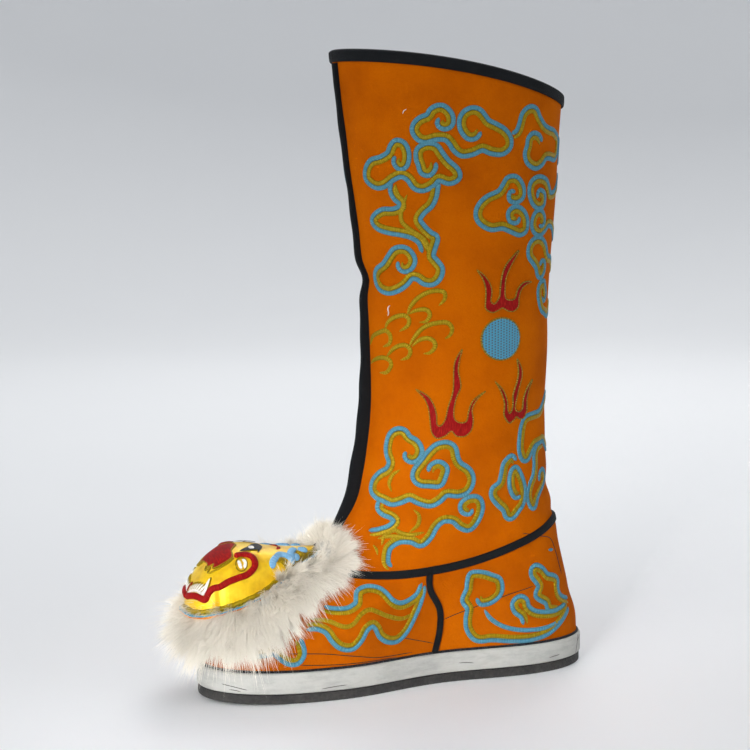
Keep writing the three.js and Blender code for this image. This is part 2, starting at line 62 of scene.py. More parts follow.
# Columns: place and target in metres, size in metres, power in watts, spread in degrees.
LAMPS = {
    "key_lamp": ((1.9, 1.2, 0.75), BOOT_MIDDLE, 0.9, 18.0, 180),
    "toe_lamp": ((0.9, 1.0, 0.33), TOE_MIDDLE, 0.3, 0.27, 18),
    "fill_lamp": ((-1.3, 1.6, 1.2), BOOT_MIDDLE, 1.6, 6.0, 180),
    "rim_lamp": ((-0.9, -1.6, 1.9), BOOT_MIDDLE, 1.3, 22.0, 180),
}


def aimed(place, target):
    """Turn that points an object's -Z axis from a place at a target."""
    return (Vector(target) - Vector(place)).to_track_quat("-Z", "Y").to_euler()


camera_data = bpy.data.cameras.new("photo_camera")
camera = bpy.data.objects.new("photo_camera", camera_data)
bpy.context.scene.collection.objects.link(camera)
camera.location = Vector(CAMERA_PLACE) * MM
camera.rotation_euler = aimed(camera.location, Vector(CAMERA_AIM) * MM)
camera_data.lens = LENS
camera_data.sensor_width = SENSOR
camera_data.clip_start = NEAREST
bpy.context.scene.camera = camera

bpy.ops.object.select_all(action="DESELECT")
bpy.ops.mesh.primitive_grid_add(x_subdivisions=FLOOR_CELLS, y_subdivisions=FLOOR_CELLS, size=FLOOR_SIZE)
floor = bpy.context.object
floor.name = "floor"
for vertex in floor.data.vertices:
    vertex.co.z = FLOOR_RISE * max(vertex.co.xy.length - FLAT_RADIUS, 0.0) ** 2
bpy.ops.object.shade_smooth()

for name, (place, target, size, watts, spread) in LAMPS.items():
    light = bpy.data.lights.new(name, "AREA")
    light.energy = watts
    light.size = size
    light.spread = math.radians(spread)
    holder = bpy.data.objects.new(name, light)
    holder.location = place
    holder.rotation_euler = aimed(place, target)
    bpy.context.scene.collection.objects.link(holder)

bpy.context.scene.view_settings.view_transform = "Standard"
world = bpy.data.worlds.new("soft_studio")
bpy.context.scene.world = world
world.use_nodes = True
sky = world.node_tree.nodes["Background"]
sky.inputs["Color"].default_value = SKY_COLOUR
sky.inputs["Strength"].default_value = SKY_STRENGTH


def add_node(tree, kind, inputs=(), **settings):
    """A shader node with its settings. An input is a value, or an output socket to link from."""
    made = tree.nodes.new(kind)
    for name, value in settings.items():
        setattr(made, name, value)
    for name, value in dict(inputs).items():
        if isinstance(value, bpy.types.NodeSocket):
            tree.links.new(value, made.inputs[name])
        else:
            made.inputs[name].default_value = value
    return made


def new_material(name, **shader_inputs):
    """A material with its Principled shader and the shader's node tree."""
    material = bpy.data.materials.new(name)
    material.use_nodes = True
    shader = material.node_tree.nodes["Principled BSDF"]
    for key, value in shader_inputs.items():
        shader.inputs[key.replace("_", " ")].default_value = value
    return material, material.node_tree, shader


def feed(node, **sockets):
    """Links outputs to the named inputs of a shader or of a group's output node."""
    for key, socket in sockets.items():
        node.id_data.links.new(socket, node.inputs[key.replace("_", " ")])


def ramp(tree, value, stops):
    """Colours along a value: stops are (place, colour)."""
    made = add_node(tree, "ShaderNodeValToRGB", {"Fac": value})
    while len(made.color_ramp.elements) < len(stops):
        made.color_ramp.elements.new(1.0)
    for element, (place, colour) in zip(made.color_ramp.elements, stops):
        element.position = place
        element.color = (*colour, 1.0)
    return made.outputs["Color"]


def mix_colours(tree, share, first, second):
    """First colour where the share is 0, second where it is 1."""
    made = tree.nodes.new("ShaderNodeMix")
    made.data_type = "RGBA"
    for socket, value in ((made.inputs[0], share), (made.inputs[6], first), (made.inputs[7], second)):
        if isinstance(value, bpy.types.NodeSocket):
            tree.links.new(value, socket)
        else:
            socket.default_value = value if isinstance(value, float) else (*value, 1.0)
    return made.outputs[2]


def math_node(tree, operation, *values):
    """Result of a sum, product or other operation on values or sockets."""
    made = tree.nodes.new("ShaderNodeMath")
    made.operation = operation
    for socket, value in zip(made.inputs, values):
        if isinstance(value, bpy.types.NodeSocket):
            tree.links.new(value, socket)
        else:
            socket.default_value = value
    return made.outputs[0]


def noise(tree, vector, scale, detail=3.0, roughness=0.5):
    """Even grey noise of so many grains per metre."""
    inputs = {"Vector": vector, "Scale": scale, "Detail": detail, "Roughness": roughness}
    return add_node(tree, "ShaderNodeTexNoise", inputs).outputs["Fac"]


def bump(tree, height, distance, strength=1.0, normal=None):
    """Normal of a surface with so much relief, in metres."""
    inputs = {"Height": height, "Distance": distance, "Strength": strength}
    if normal is not None:
        inputs["Normal"] = normal
    return add_node(tree, "ShaderNodeBump", inputs).outputs["Normal"]


def object_place(tree):
    """Place on the boot, in metres."""
    return add_node(tree, "ShaderNodeTexCoord").outputs["Object"]


def make_mottled(name, roughness, dark, light, grain, raised=0.0):
    """A matt material in two near shades, with a relief in metres. Grain: scale, detail and roughness."""
    material, tree, shader = new_material(name, Roughness=roughness)
    shade = noise(tree, object_place(tree), *grain)
    feed(shader, Base_Color=mix_colours(tree, shade, dark, light))
    if raised:
        feed(shader, Normal=bump(tree, shade, raised))
    return material


floor.data.materials.append(make_mottled("floor_paper", 0.85, FLOOR_COLOUR, FLOOR_PALER, (3.0, 3.0, 0.5)))


# Upper: shaft, vamp and heel counter of orange felt on a pasted cotton lining, sewn into one hollow wall.
# It is drawn through slanted sections from the seam with the sole up to the collar, and it sags in a few
# soft folds.
UPPER_LENGTH = 267.0
BALL_WIDTH = 94.0
INSTEP_HEIGHT = 80.0
SHAFT_HEIGHT = 385.0
COLLAR_DEPTH = 154.0
COLLAR_WIDTH = 112.0
ORIGIN_FROM_HEEL = 84.0
TOE_SPRING = 2.0
TOE_SWING = 10.0
WAIST_BOW = 2.0
TOE_START = 0.72
WAIST_PLACE = 0.45
WAIST_SPREAD = 0.18
OUTSOLE_THICKNESS = 6.0
MIDSOLE_THICKNESS = 13.5
PIECE_GAP = 0.3
SOLE_TOP = OUTSOLE_THICKNESS + PIECE_GAP + MIDSOLE_THICKNESS
UPPER_BASE = SOLE_TOP + PIECE_GAP
UPPER_WALL = 2.4
# Columns: front and its rise, back and its rise, then the half widths at heel, waist, ball and toe.
# Places are shares of the upper's length, rises of the instep's height, half widths of the ball's width.
FOOT_ROWS = [
    (1.0, 0.0, 0.002, 0.0, 0.55, 0.37, 0.535, 0.66),
    (1.004, 0.19, 0.008, 0.17, 0.57, 0.38, 0.55, 0.66),
    (0.98, 0.4, 0.024, 0.34, 0.57, 0.39, 0.54, 0.6),
    (0.91, 0.56, 0.036, 0.5, 0.55, 0.4, 0.48, 0.47),
    (0.79, 0.7, 0.048, 0.66, 0.51, 0.405, 0.41, 0.4),
    (0.69, 0.83, 0.06, 0.82, 0.48, 0.41, 0.395, 0.37),
    (0.637, 1.0, 0.069, 0.98, 0.46, 0.42, 0.4, 0.37),
]
# Columns: rise in front and behind, place in front and behind, width, crown. Rises and crown are shares
# of the shaft's height, places of the collar's depth, widths of the collar's width.
SHAFT_ROWS = [
    (0.27, 0.25, 0.481, -0.397, 0.75, 0.0),
    (0.345, 0.32, 0.446, -0.374, 0.785, 0.0),
    (0.44, 0.415, 0.425, -0.369, 0.805, 0.002),
    (0.57, 0.54, 0.441, -0.378, 0.83, 0.004),
    (0.7, 0.655, 0.475, -0.386, 0.875, 0.006),
    (0.835, 0.78, 0.53, -0.406, 0.945, 0.009),
    (1.0, 0.925, 0.578, -0.427, 1.0, 0.012),
]
SPAN_PLACES = np.array([0.0, 0.4, 0.7, 1.0])  # of heel, waist, ball and toe, from back to front


def section_rows():
    """Sections in millimetres: front x and z, back x and z, four half widths, crown."""
    rows = []
    for front, front_rise, back, back_rise, *spans in FOOT_ROWS:
        line = [front * UPPER_LENGTH - ORIGIN_FROM_HEEL, front_rise * INSTEP_HEIGHT]
        line += [back * UPPER_LENGTH - ORIGIN_FROM_HEEL, back_rise * INSTEP_HEIGHT]
        rows.append(line + [span * BALL_WIDTH for span in spans] + [0.0])
    for front_rise, back_rise, front, back, width, crown in SHAFT_ROWS:
        line = [front * COLLAR_DEPTH, front_rise * SHAFT_HEIGHT]
        line += [back * COLLAR_DEPTH, back_rise * SHAFT_HEIGHT]
        rows.append(line + [width * COLLAR_WIDTH / 2] * 4 + [crown * SHAFT_HEIGHT])
    return np.array(rows)


SECTIONS = section_rows()
TOP_ROW = len(SECTIONS) - 1.0


def hermite(share, start, end, slope_start, slope_end):
    """Smooth step from start to end with given slopes."""
    return (
        (2 * share**3 - 3 * share**2 + 1) * start
        + (share**3 - 2 * share**2 + share) * slope_start
        + (3 * share**2 - 2 * share**3) * end
        + (share**3 - share**2) * slope_end
    )


def through_rows(table, place):
    """Rows of a table at places between them, along a smooth curve."""
    last = len(table) - 1
    start = np.clip(np.floor(place).astype(int), 0, last - 1)
    share = (place - start)[..., None]
    low, high = table[start], table[start + 1]
    before, after = table[np.maximum(start - 1, 0)], table[np.minimum(start + 2, last)]
    slope_start = np.where((start > 0)[..., None], (high - before) / 2, high - low)
    slope_end = np.where((start + 2 <= last)[..., None], (after - low) / 2, high - low)
    return hermite(share, low, high, slope_start, slope_end)


def span_at(spans, share):
    """Half width at a share of the way from back to front, level at both ends."""
    cell = np.clip(np.searchsorted(SPAN_PLACES, share) - 1, 0, len(SPAN_PLACES) - 2)
    slopes = np.zeros_like(spans)
    slopes[..., 1:-1] = (spans[..., 2:] - spans[..., :-2]) / (SPAN_PLACES[2:] - SPAN_PLACES[:-2])
    width = SPAN_PLACES[cell + 1] - SPAN_PLACES[cell]

    def pick(values, shift):
        return np.take_along_axis(values, (cell + shift)[..., None], -1)[..., 0]

    inside = (share - SPAN_PLACES[cell]) / width
    return hermite(inside, pick(spans, 0), pick(spans, 1), width * pick(slopes, 0), width * pick(slopes, 1))


def on_last(points):
    """The last's own curve: the toe lifts and swings inwards, and the waist bows outwards."""
    along = (points[..., 0] + ORIGIN_FROM_HEEL) / UPPER_LENGTH
    toe = np.maximum(along - TOE_START, 0) / (1 - TOE_START)
    fade = np.clip((points[..., 2] - INSTEP_HEIGHT) / INSTEP_HEIGHT, 0, 1)
    foot = 1 - fade**2 * (3 - 2 * fade)
    bent = points.copy()
    bent[..., 2] += TOE_SPRING * toe**2
    bow = WAIST_BOW * np.exp(-(((along - WAIST_PLACE) / WAIST_SPREAD) ** 2))
    bent[..., 1] += foot * (TOE_SWING * toe**2 - bow)
    return bent


def face_point(level, angle):
    """Point of the upper's outer face, before the last's curve."""
    row = through_rows(SECTIONS, level)
    share = (1 + np.cos(angle)) / 2
    x = row[..., 2] + share * (row[..., 0] - row[..., 2])
    z = row[..., 3] + share * (row[..., 1] - row[..., 3]) + row[..., 8] * np.sin(angle) ** 2
    y = np.sin(angle) * span_at(row[..., 4:8], share)
    return np.stack([x, y, UPPER_BASE + z], -1)


STEP = 0.01  # of a level, a place or a radian, between points that give a direction


def unit(values):
    """Directions of length one."""
    return values / np.linalg.norm(values, axis=-1, keepdims=True)


def round_turn(count):
    """Angles evenly round a full turn."""
    return np.arange(count) / count * 2 * math.pi


def upper_point(level, angle, outwards=0.0):
    """The same point moved outwards, then set on the last. Everything is in millimetres."""
    level, angle, outwards = np.broadcast_arrays(*[np.asarray(v, float) for v in (level, angle, outwards)])
    low, high = np.maximum(level - STEP, 0), np.minimum(level + STEP, TOP_ROW)
    up = face_point(high, angle) - face_point(low, angle)
    normal = np.cross(face_point(level, angle + STEP) - face_point(level, angle - STEP), up)
    normal[..., 2] = np.where(level <= 0, 0, normal[..., 2])
    return on_last(face_point(level, angle) + unit(normal) * outwards[..., None])


def level_at(height, angle):
    """Level at which the upper's face has a height above the floor, at an angle."""
    height, angle = np.broadcast_arrays(np.asarray(height, float), np.asarray(angle, float))
    low, high = np.zeros_like(height), np.full_like(height, TOP_ROW)
    for _ in range(26):
        middle = (low + high) / 2
        below = face_point(middle, angle)[..., 2] < height
        low, high = np.where(below, middle, low), np.where(below, high, middle)
    return (low + high) / 2


# Soft folds of the felt. Columns: turn in degrees and height in millimetres of the middle, half length,
# half breadth, lean of the fold in degrees from level, depth of the trough in millimetres.
FOLDS = [
    (-4, 262, 34, 9, -6, 2.4),
    (30, 268, 30, 8, 14, 0.9),
    (-40, 255, 40, 12, -12, 1.6),
    (22, 114, 26, 10, -16, 0.9),
    (44, 98, 28, 6, -22, 1.1),
    (-25, 112, 26, 10, 14, 0.9),
    (-50, 97, 28, 6, 20, 1.0),
    (150, 120, 36, 8, 10, 1.6),
    (172, 104, 40, 6, 0, 1.3),
    (-150, 121, 36, 8, -10, 1.5),
    (128, 168, 34, 10, 22, 0.9),
    (95, 128, 26, 9, -30, 0.7),
    (112, 60, 26, 8, -24, 0.8),
    (146, 44, 22, 7, 12, 0.9),
    (62, 58, 22, 6, 34, 0.8),
    (-64, 56, 22, 6, -34, 0.8),
    (78, 300, 50, 16, 40, 0.7),
    (140, 250, 44, 15, -32, 0.9),
    (20, 350, 46, 16, -30, 0.6),
]
WAVINESS = 0.35  # millimetres of gentle unevenness of the padded cloth
SOLE_FADE = 12.0  # millimetres above the sole over which the felt becomes uneven
COLLAR_FLAT = 28.0  # millimetres under the collar that stay even
COLLAR_FADE = 25.0


def relief(turn, height):
    """How far the felt stands out of its even form, in millimetres. A fold is a trough with a low swelling
    along each side."""
    turn = (np.asarray(turn, float) + 180) % 360 - 180
    depth = WAVINESS * np.sin(np.radians(3 * turn) + height / 31) * np.sin(height / 23 + np.radians(turn))
    depth = depth + WAVINESS / 2 * np.sin(np.radians(7 * turn) - height / 17)
    for middle, rise, length, breadth, slope, trough in FOLDS:
        lean = math.radians(slope)
        across = (turn - middle + 180) % 360 - 180
        along = (across * math.cos(lean) + (height - rise) * math.sin(lean)) / length
        off = (-across * math.sin(lean) + (height - rise) * math.cos(lean)) / breadth
        profile = 1.5 * np.exp(-(off**2)) - 0.5 * np.exp(-(off**2) / 5)
        depth = depth - trough * np.exp(-(along**2)) * profile
    near_sole = np.clip((height - UPPER_BASE) / SOLE_FADE, 0, 1)
    near_collar = np.clip((SHAFT_HEIGHT + UPPER_BASE - height - COLLAR_FLAT) / COLLAR_FADE, 0, 1)
    return depth * near_sole * near_collar


def on_upper(turn, height, outwards=0.0):
    """Point on the felt at a turn from the front, in degrees, and a height above the floor."""
    angle = np.radians(turn)
    return upper_point(level_at(height, angle), angle, relief(turn, height) + outwards)


def grid_faces(rows, columns, looped_rows=False, looped_columns=False):
    """Quads over a grid of vertices, with its rows or columns joined end to end."""
    row = np.arange(rows if looped_rows else rows - 1)[:, None]
    column = np.arange(columns if looped_columns else columns - 1)[None, :]
    next_row, next_column = (row + 1) % rows, (column + 1) % columns
    quads = [row * columns + column, row * columns + next_column]
    quads += [next_row * columns + next_column, next_row * columns + column]
    return np.stack([np.broadcast_to(q, (len(row), column.size)).ravel() for q in quads], -1)


def mesh_piece(name, points, faces, uv=None):
    """An object from points in millimetres and faces, with a UV map given for each point."""
    mesh = bpy.data.meshes.new(name)
    corners = faces.tolist() if isinstance(faces, np.ndarray) else faces
    mesh.from_pydata((np.asarray(points).reshape(-1, 3) * MM).tolist(), [], corners)
    mesh.validate()
    if uv is not None:
        layer = mesh.uv_layers.new(name="surface")
        corner = np.empty(len(mesh.loops), dtype=np.int32)
        mesh.loops.foreach_get("vertex_index", corner)
        layer.data.foreach_set("uv", np.asarray(uv).reshape(-1, 2)[corner].ravel())
    mesh.shade_smooth()
    made = bpy.data.objects.new(name, mesh)
    bpy.context.scene.collection.objects.link(made)
    return made


def fit_piece(piece, material, slot, *nodes):
    """Gives a piece its material, lets it ride on the boot and hides the frame's nodes it stands for."""
    piece.data.materials.append(material)
    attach(piece, "root")
    if nodes:
        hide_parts(*nodes)


UPPER_AROUND = 168
UPPER_UP = 152
LEVEL_RISE = 27.0  # millimetres from one level to the next, roughly


def wall_round(lowest, rows, columns, outer, inner):
    """Points, faces and UV of a closed wall round the boot, between two distances outwards from the felt."""
    levels, angles = np.meshgrid(np.linspace(lowest, TOP_ROW, rows), round_turn(columns), indexing="ij")
    uneven = relief(np.degrees(angles), face_point(levels, angles)[..., 2])
    faces = [upper_point(levels, angles, uneven + outer), upper_point(levels, angles, uneven + inner)[::-1]]
    uv = np.stack([np.degrees(angles), LEVEL_RISE * levels], -1)
    quads = grid_faces(2 * rows, columns, looped_rows=True, looped_columns=True)
    return np.concatenate(faces), quads, np.concatenate([uv, uv[::-1]])


upper = mesh_piece("felt_upper", *wall_round(0, UPPER_UP, UPPER_AROUND, 0.0, -UPPER_WALL)[:2])

FELT_ORANGE = (0.48, 0.102, 0.0)
FELT_SHADE = (0.34, 0.064, 0.0)
FELT_LIGHT = (0.57, 0.135, 0.0)
SOIL = (0.12, 0.04, 0.008)


def new_group(name, inputs, outputs):
    """A node group with named sockets: its tree, the outlets of its inputs, and its output node."""
    tree = bpy.data.node_groups.new(name, "ShaderNodeTree")
    for sockets, way in ((inputs, "INPUT"), (outputs, "OUTPUT")):
        for label, kind in sockets.items():
            tree.interface.new_socket(label, in_out=way, socket_type=f"NodeSocket{kind}")
    return tree, tree.nodes.new("NodeGroupInput").outputs, tree.nodes.new("NodeGroupOutput")


def use_group(tree, group, **inputs):
    """Places a node group in a material with the material's own values, and gives its outputs."""
    return add_node(tree, "ShaderNodeGroup", inputs, node_tree=group).outputs


def make_dust():
    """Node group: how much dirt lies on a place, more of it low down and in patches."""
    inputs = {"Place": "Vector", "Reach": "Float", "Amount": "Float"}
    tree, given, result = new_group("dust", inputs, {"Mask": "Float"})
    height = add_node(tree, "ShaderNodeSeparateXYZ", {"Vector": given["Place"]}).outputs["Z"]
    low = math_node(tree, "DIVIDE", height, given["Reach"])
    fading = math_node(tree, "EXPONENT", math_node(tree, "MULTIPLY", low, -1.0))
    patches = noise(tree, given["Place"], 55.0, 5.0, 0.62)
    specks = noise(tree, given["Place"], 420.0, 2.0, 0.5)
    patchy = math_node(tree, "MULTIPLY", math_node(tree, "MULTIPLY", patches, specks), 4.0)
    mask = math_node(tree, "MULTIPLY", math_node(tree, "MULTIPLY", fading, patchy), given["Amount"])
    feed(result, Mask=math_node(tree, "MINIMUM", mask, 1.0))
    return tree


dust = make_dust()


def make_felt():
    """Orange wool felt: cloudy colour, short matted fibres, a dull sheen, and soil near the sole."""
    settings = {"Sheen_Weight": 0.05, "Sheen_Roughness": 0.6, "Sheen_Tint": (1.0, 0.35, 0.02, 1.0)}
    material, tree, shader = new_material("orange_felt", Specular_IOR_Level=0.02, **settings)
    place = object_place(tree)
    cloudy = noise(tree, place, 19.0, 5.0, 0.62)
    colour = ramp(tree, cloudy, [(0.3, FELT_SHADE), (0.52, FELT_ORANGE), (0.78, FELT_LIGHT)])
    nap = noise(tree, place, 900.0, 3.0, 0.65)
    colour = mix_colours(tree, math_node(tree, "MULTIPLY", nap, 0.55), colour, FELT_SHADE)
    soiled = use_group(tree, dust, Place=place, Reach=0.03, Amount=0.22)["Mask"]
    matted = noise(tree, place, 260.0, 5.0, 0.7)
    feed(
        shader,
        Base_Color=mix_colours(tree, soiled, colour, SOIL),
        Roughness=math_node(tree, "MULTIPLY_ADD", nap, 0.2, 0.68),
        Normal=bump(tree, matted, 0.0009, 0.5, bump(tree, nap, 0.0004, 0.55)),
    )
    return material


felt = make_felt()
fit_piece(upper, felt, "felt", "upper")


def weave_group():
    """Node group: plain weave from UV millimetres, as a height and a shade."""
    inputs = {"Place": "Vector", "Threads": "Float"}
    tree, given, result = new_group("plain_weave", inputs, {"Height": "Float", "Shade": "Float"})
    split = add_node(tree, "ShaderNodeSeparateXYZ", {"Vector": given["Place"]}).outputs
    waves = []
    for axis, shift in (("X", 0.0), ("Y", math.pi / 2)):
        turned = math_node(tree, "MULTIPLY_ADD", split[axis], given["Threads"], shift)
        waves.append(math_node(tree, "SINE", turned))
    crossing = math_node(tree, "MULTIPLY", *waves)
    height = math_node(tree, "MULTIPLY_ADD", crossing, 0.5, 0.5)
    feed(result, Height=height, Shade=noise(tree, given["Place"], 1.4, 3.0, 0.6))
    return tree


weave = weave_group()


def own_uv(tree):
    """Place on the piece's own UV map, in millimetres along and across it."""
    return add_node(tree, "ShaderNodeUVMap", uv_map="surface").outputs["UV"]


# Lining: undyed cotton that shows inside the shaft, pasted to the felt. It is a thin shell that follows
# every fold of the wall from a quarter of a millimetre inside it.
LINING_AROUND = 96
LINING_UP = 80
LINING_CLEARANCE = 0.25
LINING_FOOT = 0.1  # level of its lower edge
lining_outside = -UPPER_WALL - LINING_CLEARANCE
lining = mesh_piece(
    "cotton_lining",
    *wall_round(LINING_FOOT, LINING_UP, LINING_AROUND, lining_outside, lining_outside - LINING_CLEARANCE),
)


def make_cotton(name, colour, shade, threads):
    """Plain woven cotton in two near shades."""
    material, tree, shader = new_material(name, Roughness=0.9, Specular_IOR_Level=0.2, Sheen_Weight=0.1)
    cloth = use_group(tree, weave, Place=own_uv(tree), Threads=threads)
    fuzzy = mix_colours(tree, cloth["Shade"], shade, colour)
    feed(shader, Base_Color=fuzzy, Normal=bump(tree, cloth["Height"], 0.0003, 0.6))
    return material


cotton = make_cotton("undyed_cotton", (0.74, 0.70, 0.60), (0.56, 0.51, 0.42), 6.0)
fit_piece(lining, cotton, "lining")


# Sole: a thick white midsole and a thin black rubber outsole, flat and without a heel. Both follow the
# upper's bottom edge, the midsole standing a little proud of it and of the outsole.
MIDSOLE_MARGIN = 2.6
OUTSOLE_INSET = 0.8
INSOLE_THICKNESS = 3.0
SOLE_AROUND = 180


def sole_layer(name, bottom, top, margin, rounding, segments):
    """A flat layer: its outline is filled, extruded upwards, and its two rims are bevelled."""
    bpy.ops.object.select_all(action="DESELECT")
    bpy.ops.mesh.primitive_circle_add(vertices=SOLE_AROUND, fill_type="NGON")
    made = bpy.context.object
    made.name = name
    outline = upper_point(0.0, round_turn(SOLE_AROUND), margin)
    outline[:, 2] += bottom - UPPER_BASE
    made.data.vertices.foreach_set("co", (outline * MM).ravel())
    bpy.ops.object.mode_set(mode="EDIT")
    bpy.ops.mesh.select_all(action="SELECT")
    rise = {"value": (0, 0, (top - bottom) * MM)}
    bpy.ops.mesh.extrude_region_move(TRANSFORM_OT_translate=rise)
    bpy.ops.mesh.select_all(action="SELECT")
    bpy.ops.mesh.normals_make_consistent(inside=False)
    bpy.ops.mesh.select_all(action="DESELECT")
    bpy.ops.object.mode_set(mode="OBJECT")
    for edge in made.data.edges:
        first, second = (made.data.vertices[i].co for i in edge.vertices)
        edge.select = abs(first.z - second.z) < 0.5 * (top - bottom) * MM
    bpy.ops.object.mode_set(mode="EDIT")
    bpy.ops.mesh.select_mode(type="EDGE")
    bpy.ops.mesh.bevel(offset=rounding * MM, segments=segments, profile=0.5)
    bpy.ops.object.mode_set(mode="OBJECT")
    bpy.ops.object.shade_smooth_by_angle(angle=math.radians(40))
    return made


def stretched(tree, vector, scale):
    """A place scaled by its own amount along each axis."""
    return add_node(tree, "ShaderNodeMapping", {"Vector": vector, "Scale": scale}).outputs[0]


def rubber_group():
    """Node group: lengthwise scuffs and fine pits of rubber."""
    inputs = {"Place": "Vector", "Grain": "Float"}
    tree, given, result = new_group("rubber_wear", inputs, {"Scuffs": "Float", "Pits": "Float"})
    scuffs = noise(tree, stretched(tree, given["Place"], (0.25, 0.25, 1.0)), 160.0, 6.0, 0.7)
    pits = add_node(tree, "ShaderNodeTexVoronoi", {"Vector": given["Place"], "Scale": given["Grain"]})
    feed(result, Scuffs=scuffs, Pits=pits.outputs["Distance"])
    return tree


rubber_wear = rubber_group()
FLOOR_DIRT = (0.30, 0.27, 0.23)


def make_rubber(name, colour, shade, grain, depth, dirt, roughness):
    """Matt rubber with a fine grain, scuffs and dirt along the floor."""
    material, tree, shader = new_material(name, Specular_IOR_Level=0.3)
    place = object_place(tree)
    wear = use_group(tree, rubber_wear, Place=place, Grain=grain)
    scuffed = ramp(tree, wear["Scuffs"], [(0.32, shade), (0.55, colour)])
    dirty = use_group(tree, dust, Place=place, Reach=0.012, Amount=dirt)["Mask"]
    fine = bump(tree, wear["Pits"], depth, 0.7)
    feed(
        shader,
        Base_Color=mix_colours(tree, dirty, scuffed, FLOOR_DIRT),
        Roughness=math_node(tree, "MULTIPLY_ADD", wear["Scuffs"], 0.25, roughness),
        Normal=bump(tree, wear["Scuffs"], 0.0006, 0.35, fine),
    )
    return material


midsole_base = OUTSOLE_THICKNESS + PIECE_GAP
midsole = sole_layer("midsole_layer", midsole_base, SOLE_TOP, MIDSOLE_MARGIN, 1.6, 4)
white_foam = make_rubber("white_foam", (0.47, 0.47, 0.44), (0.35, 0.35, 0.33), 500.0, 0.0002, 0.28, 0.5)
fit_piece(midsole, white_foam, "midsole", "midsole")
outsole = sole_layer("outsole_layer", 0.0, OUTSOLE_THICKNESS, MIDSOLE_MARGIN - OUTSOLE_INSET, 1.0, 3)
black_rubber = make_rubber(
    "black_rubber", (0.006, 0.007, 0.009), (0.014, 0.015, 0.017), 900.0, 0.0005, 0.12, 0.55
)
fit_piece(outsole, black_rubber, "outsole", "outsole")
insole_margin = -UPPER_WALL - 3 * LINING_CLEARANCE
insole = sole_layer("insole_sock", UPPER_BASE, UPPER_BASE + INSOLE_THICKNESS, insole_margin, 0.5, 2)
insole_cloth = make_mottled(
    "insole_cloth", 0.92, (0.52, 0.47, 0.38), (0.72, 0.68, 0.58), (700.0, 4.0, 0.7), 0.0004
)
fit_piece(insole, insole_cloth, "lining", "insole")


# Bindings: black cotton tape over the collar's edge, over the seam of shaft and foot, over the joints of
# vamp and counter, and folded round the standing seam down the front of the shaft.
TAPE_BLACK = (0.004, 0.005, 0.006)
TAPE_SHEEN = (0.012, 0.014, 0.017)
TAPE_WORN = (0.06, 0.057, 0.053)
BINDING_THICKNESS = 1.4
BINDING_WIDTH = 5.4
TAPE_SINK = 0.4  # millimetres of a tape's back in the felt, and from the sole to the side tapes
SIDE_TAPE_SHARE = 0.8  # of the binding's width
COLLAR_LIP = 6.0
RIDGE_DEPTH = 9.0
RIDGE_THICKNESS = 4.4
RIDGE_SINK = 2.0
SEAM_STEPS = 260
SIDE_STEPS = 60
RIDGE_STEPS = 220
COLLAR_STEPS = 240
SEAM_RISES = [0.8, 0.745, 0.68, 0.7, 0.86, 0.98, 1.0]  # of the instep's height, from front to back
SIDE_ANGLES = [97, 99, 98.5, 92, 84]  # degrees, from the sole up to the seam
RIDGE_DEPTHS = [0.55, 0.95, 0.8, 0.5, 0.36, 0.34, 0.34]  # of RIDGE_DEPTH, from the seam up
SIDES = ((1, "inner"), (-1, "outer"))


def eased(values, share):
    """Value at a share of the way through a list of values, along a smooth curve."""
    return through_rows(np.array(values, float)[:, None], share * (len(values) - 1))[..., 0]


def seat_on_upper(turn, height):
    """Points on the felt with their outward directions."""
    point = on_upper(turn, height)
    return point, unit(on_upper(turn, height, 1.0) - point)


def directions(points, looped):
    """Directions along a line of points."""
    if looped:
        return unit(np.roll(points, -1, axis=0) - np.roll(points, 1, axis=0))
    return unit(np.gradient(points, axis=0))


def lengths_along(points):
    """Distance from the first point, along the line."""
    steps = np.linalg.norm(np.diff(points, axis=0), axis=-1)
    return np.concatenate([[0.0], np.cumsum(steps)])


def swept(points, out, section, looped=False):
    """Points, faces and UV of a closed strip. The section gives (across, outwards) for each point of the
    line, and the strip's ends are left to their last rings."""
    section = np.broadcast_to(section, (len(points), *np.shape(section)[-2:]))
    across = unit(np.cross(out, directions(points, looped)))
    ring = points[:, None] + across[:, None] * section[..., :1] + out[:, None] * section[..., 1:]
    rows, columns = ring.shape[:2]
    faces = grid_faces(rows, columns, looped_rows=looped, looped_columns=True)[:, ::-1].tolist()
    if not looped:
        faces.append(list(range(columns)))
        faces.append([(rows - 1) * columns + j for j in reversed(range(columns))])
    run = np.broadcast_to(lengths_along(points)[:, None], (rows, columns))
    girth = np.broadcast_to(lengths_along(section[0])[None, :], (rows, columns))
    return ring, faces, np.stack([run, girth], -1)


def rounded(half, rise, sink, corners=9, fullness=0.45):
    """Section of a flat tape: a domed top on a back that is sunk into what carries it."""
    turns = np.linspace(math.pi, 0, corners)
    across = half * np.sign(np.cos(turns)) * np.abs(np.cos(turns)) ** fullness
    top = np.stack([across, rise * np.sin(turns) ** 0.7], -1)
    return np.concatenate([top, [[half, -sink], [-half, -sink]]])


def make_tape_cloth():
    """Black cotton tape: close weave, slightly shiny along its rubbed edges."""
    material, tree, shader = new_material("black_tape", Specular_IOR_Level=0.1)
    cloth = use_group(tree, weave, Place=own_uv(tree), Threads=9.0)
    worn = noise(tree, object_place(tree), 220.0, 5.0, 0.7)
    colour = mix_colours(tree, math_node(tree, "MULTIPLY", cloth["Shade"], 0.6), TAPE_BLACK, TAPE_SHEEN)
    feed(
        shader,
        Base_Color=mix_colours(tree, math_node(tree, "POWER", worn, 6.0), colour, TAPE_WORN),
        Roughness=math_node(tree, "MULTIPLY_ADD", worn, 0.3, 0.5),
        Normal=bump(tree, cloth["Height"], 0.00035, 0.7),
    )
    return material


tape_cloth = make_tape_cloth()


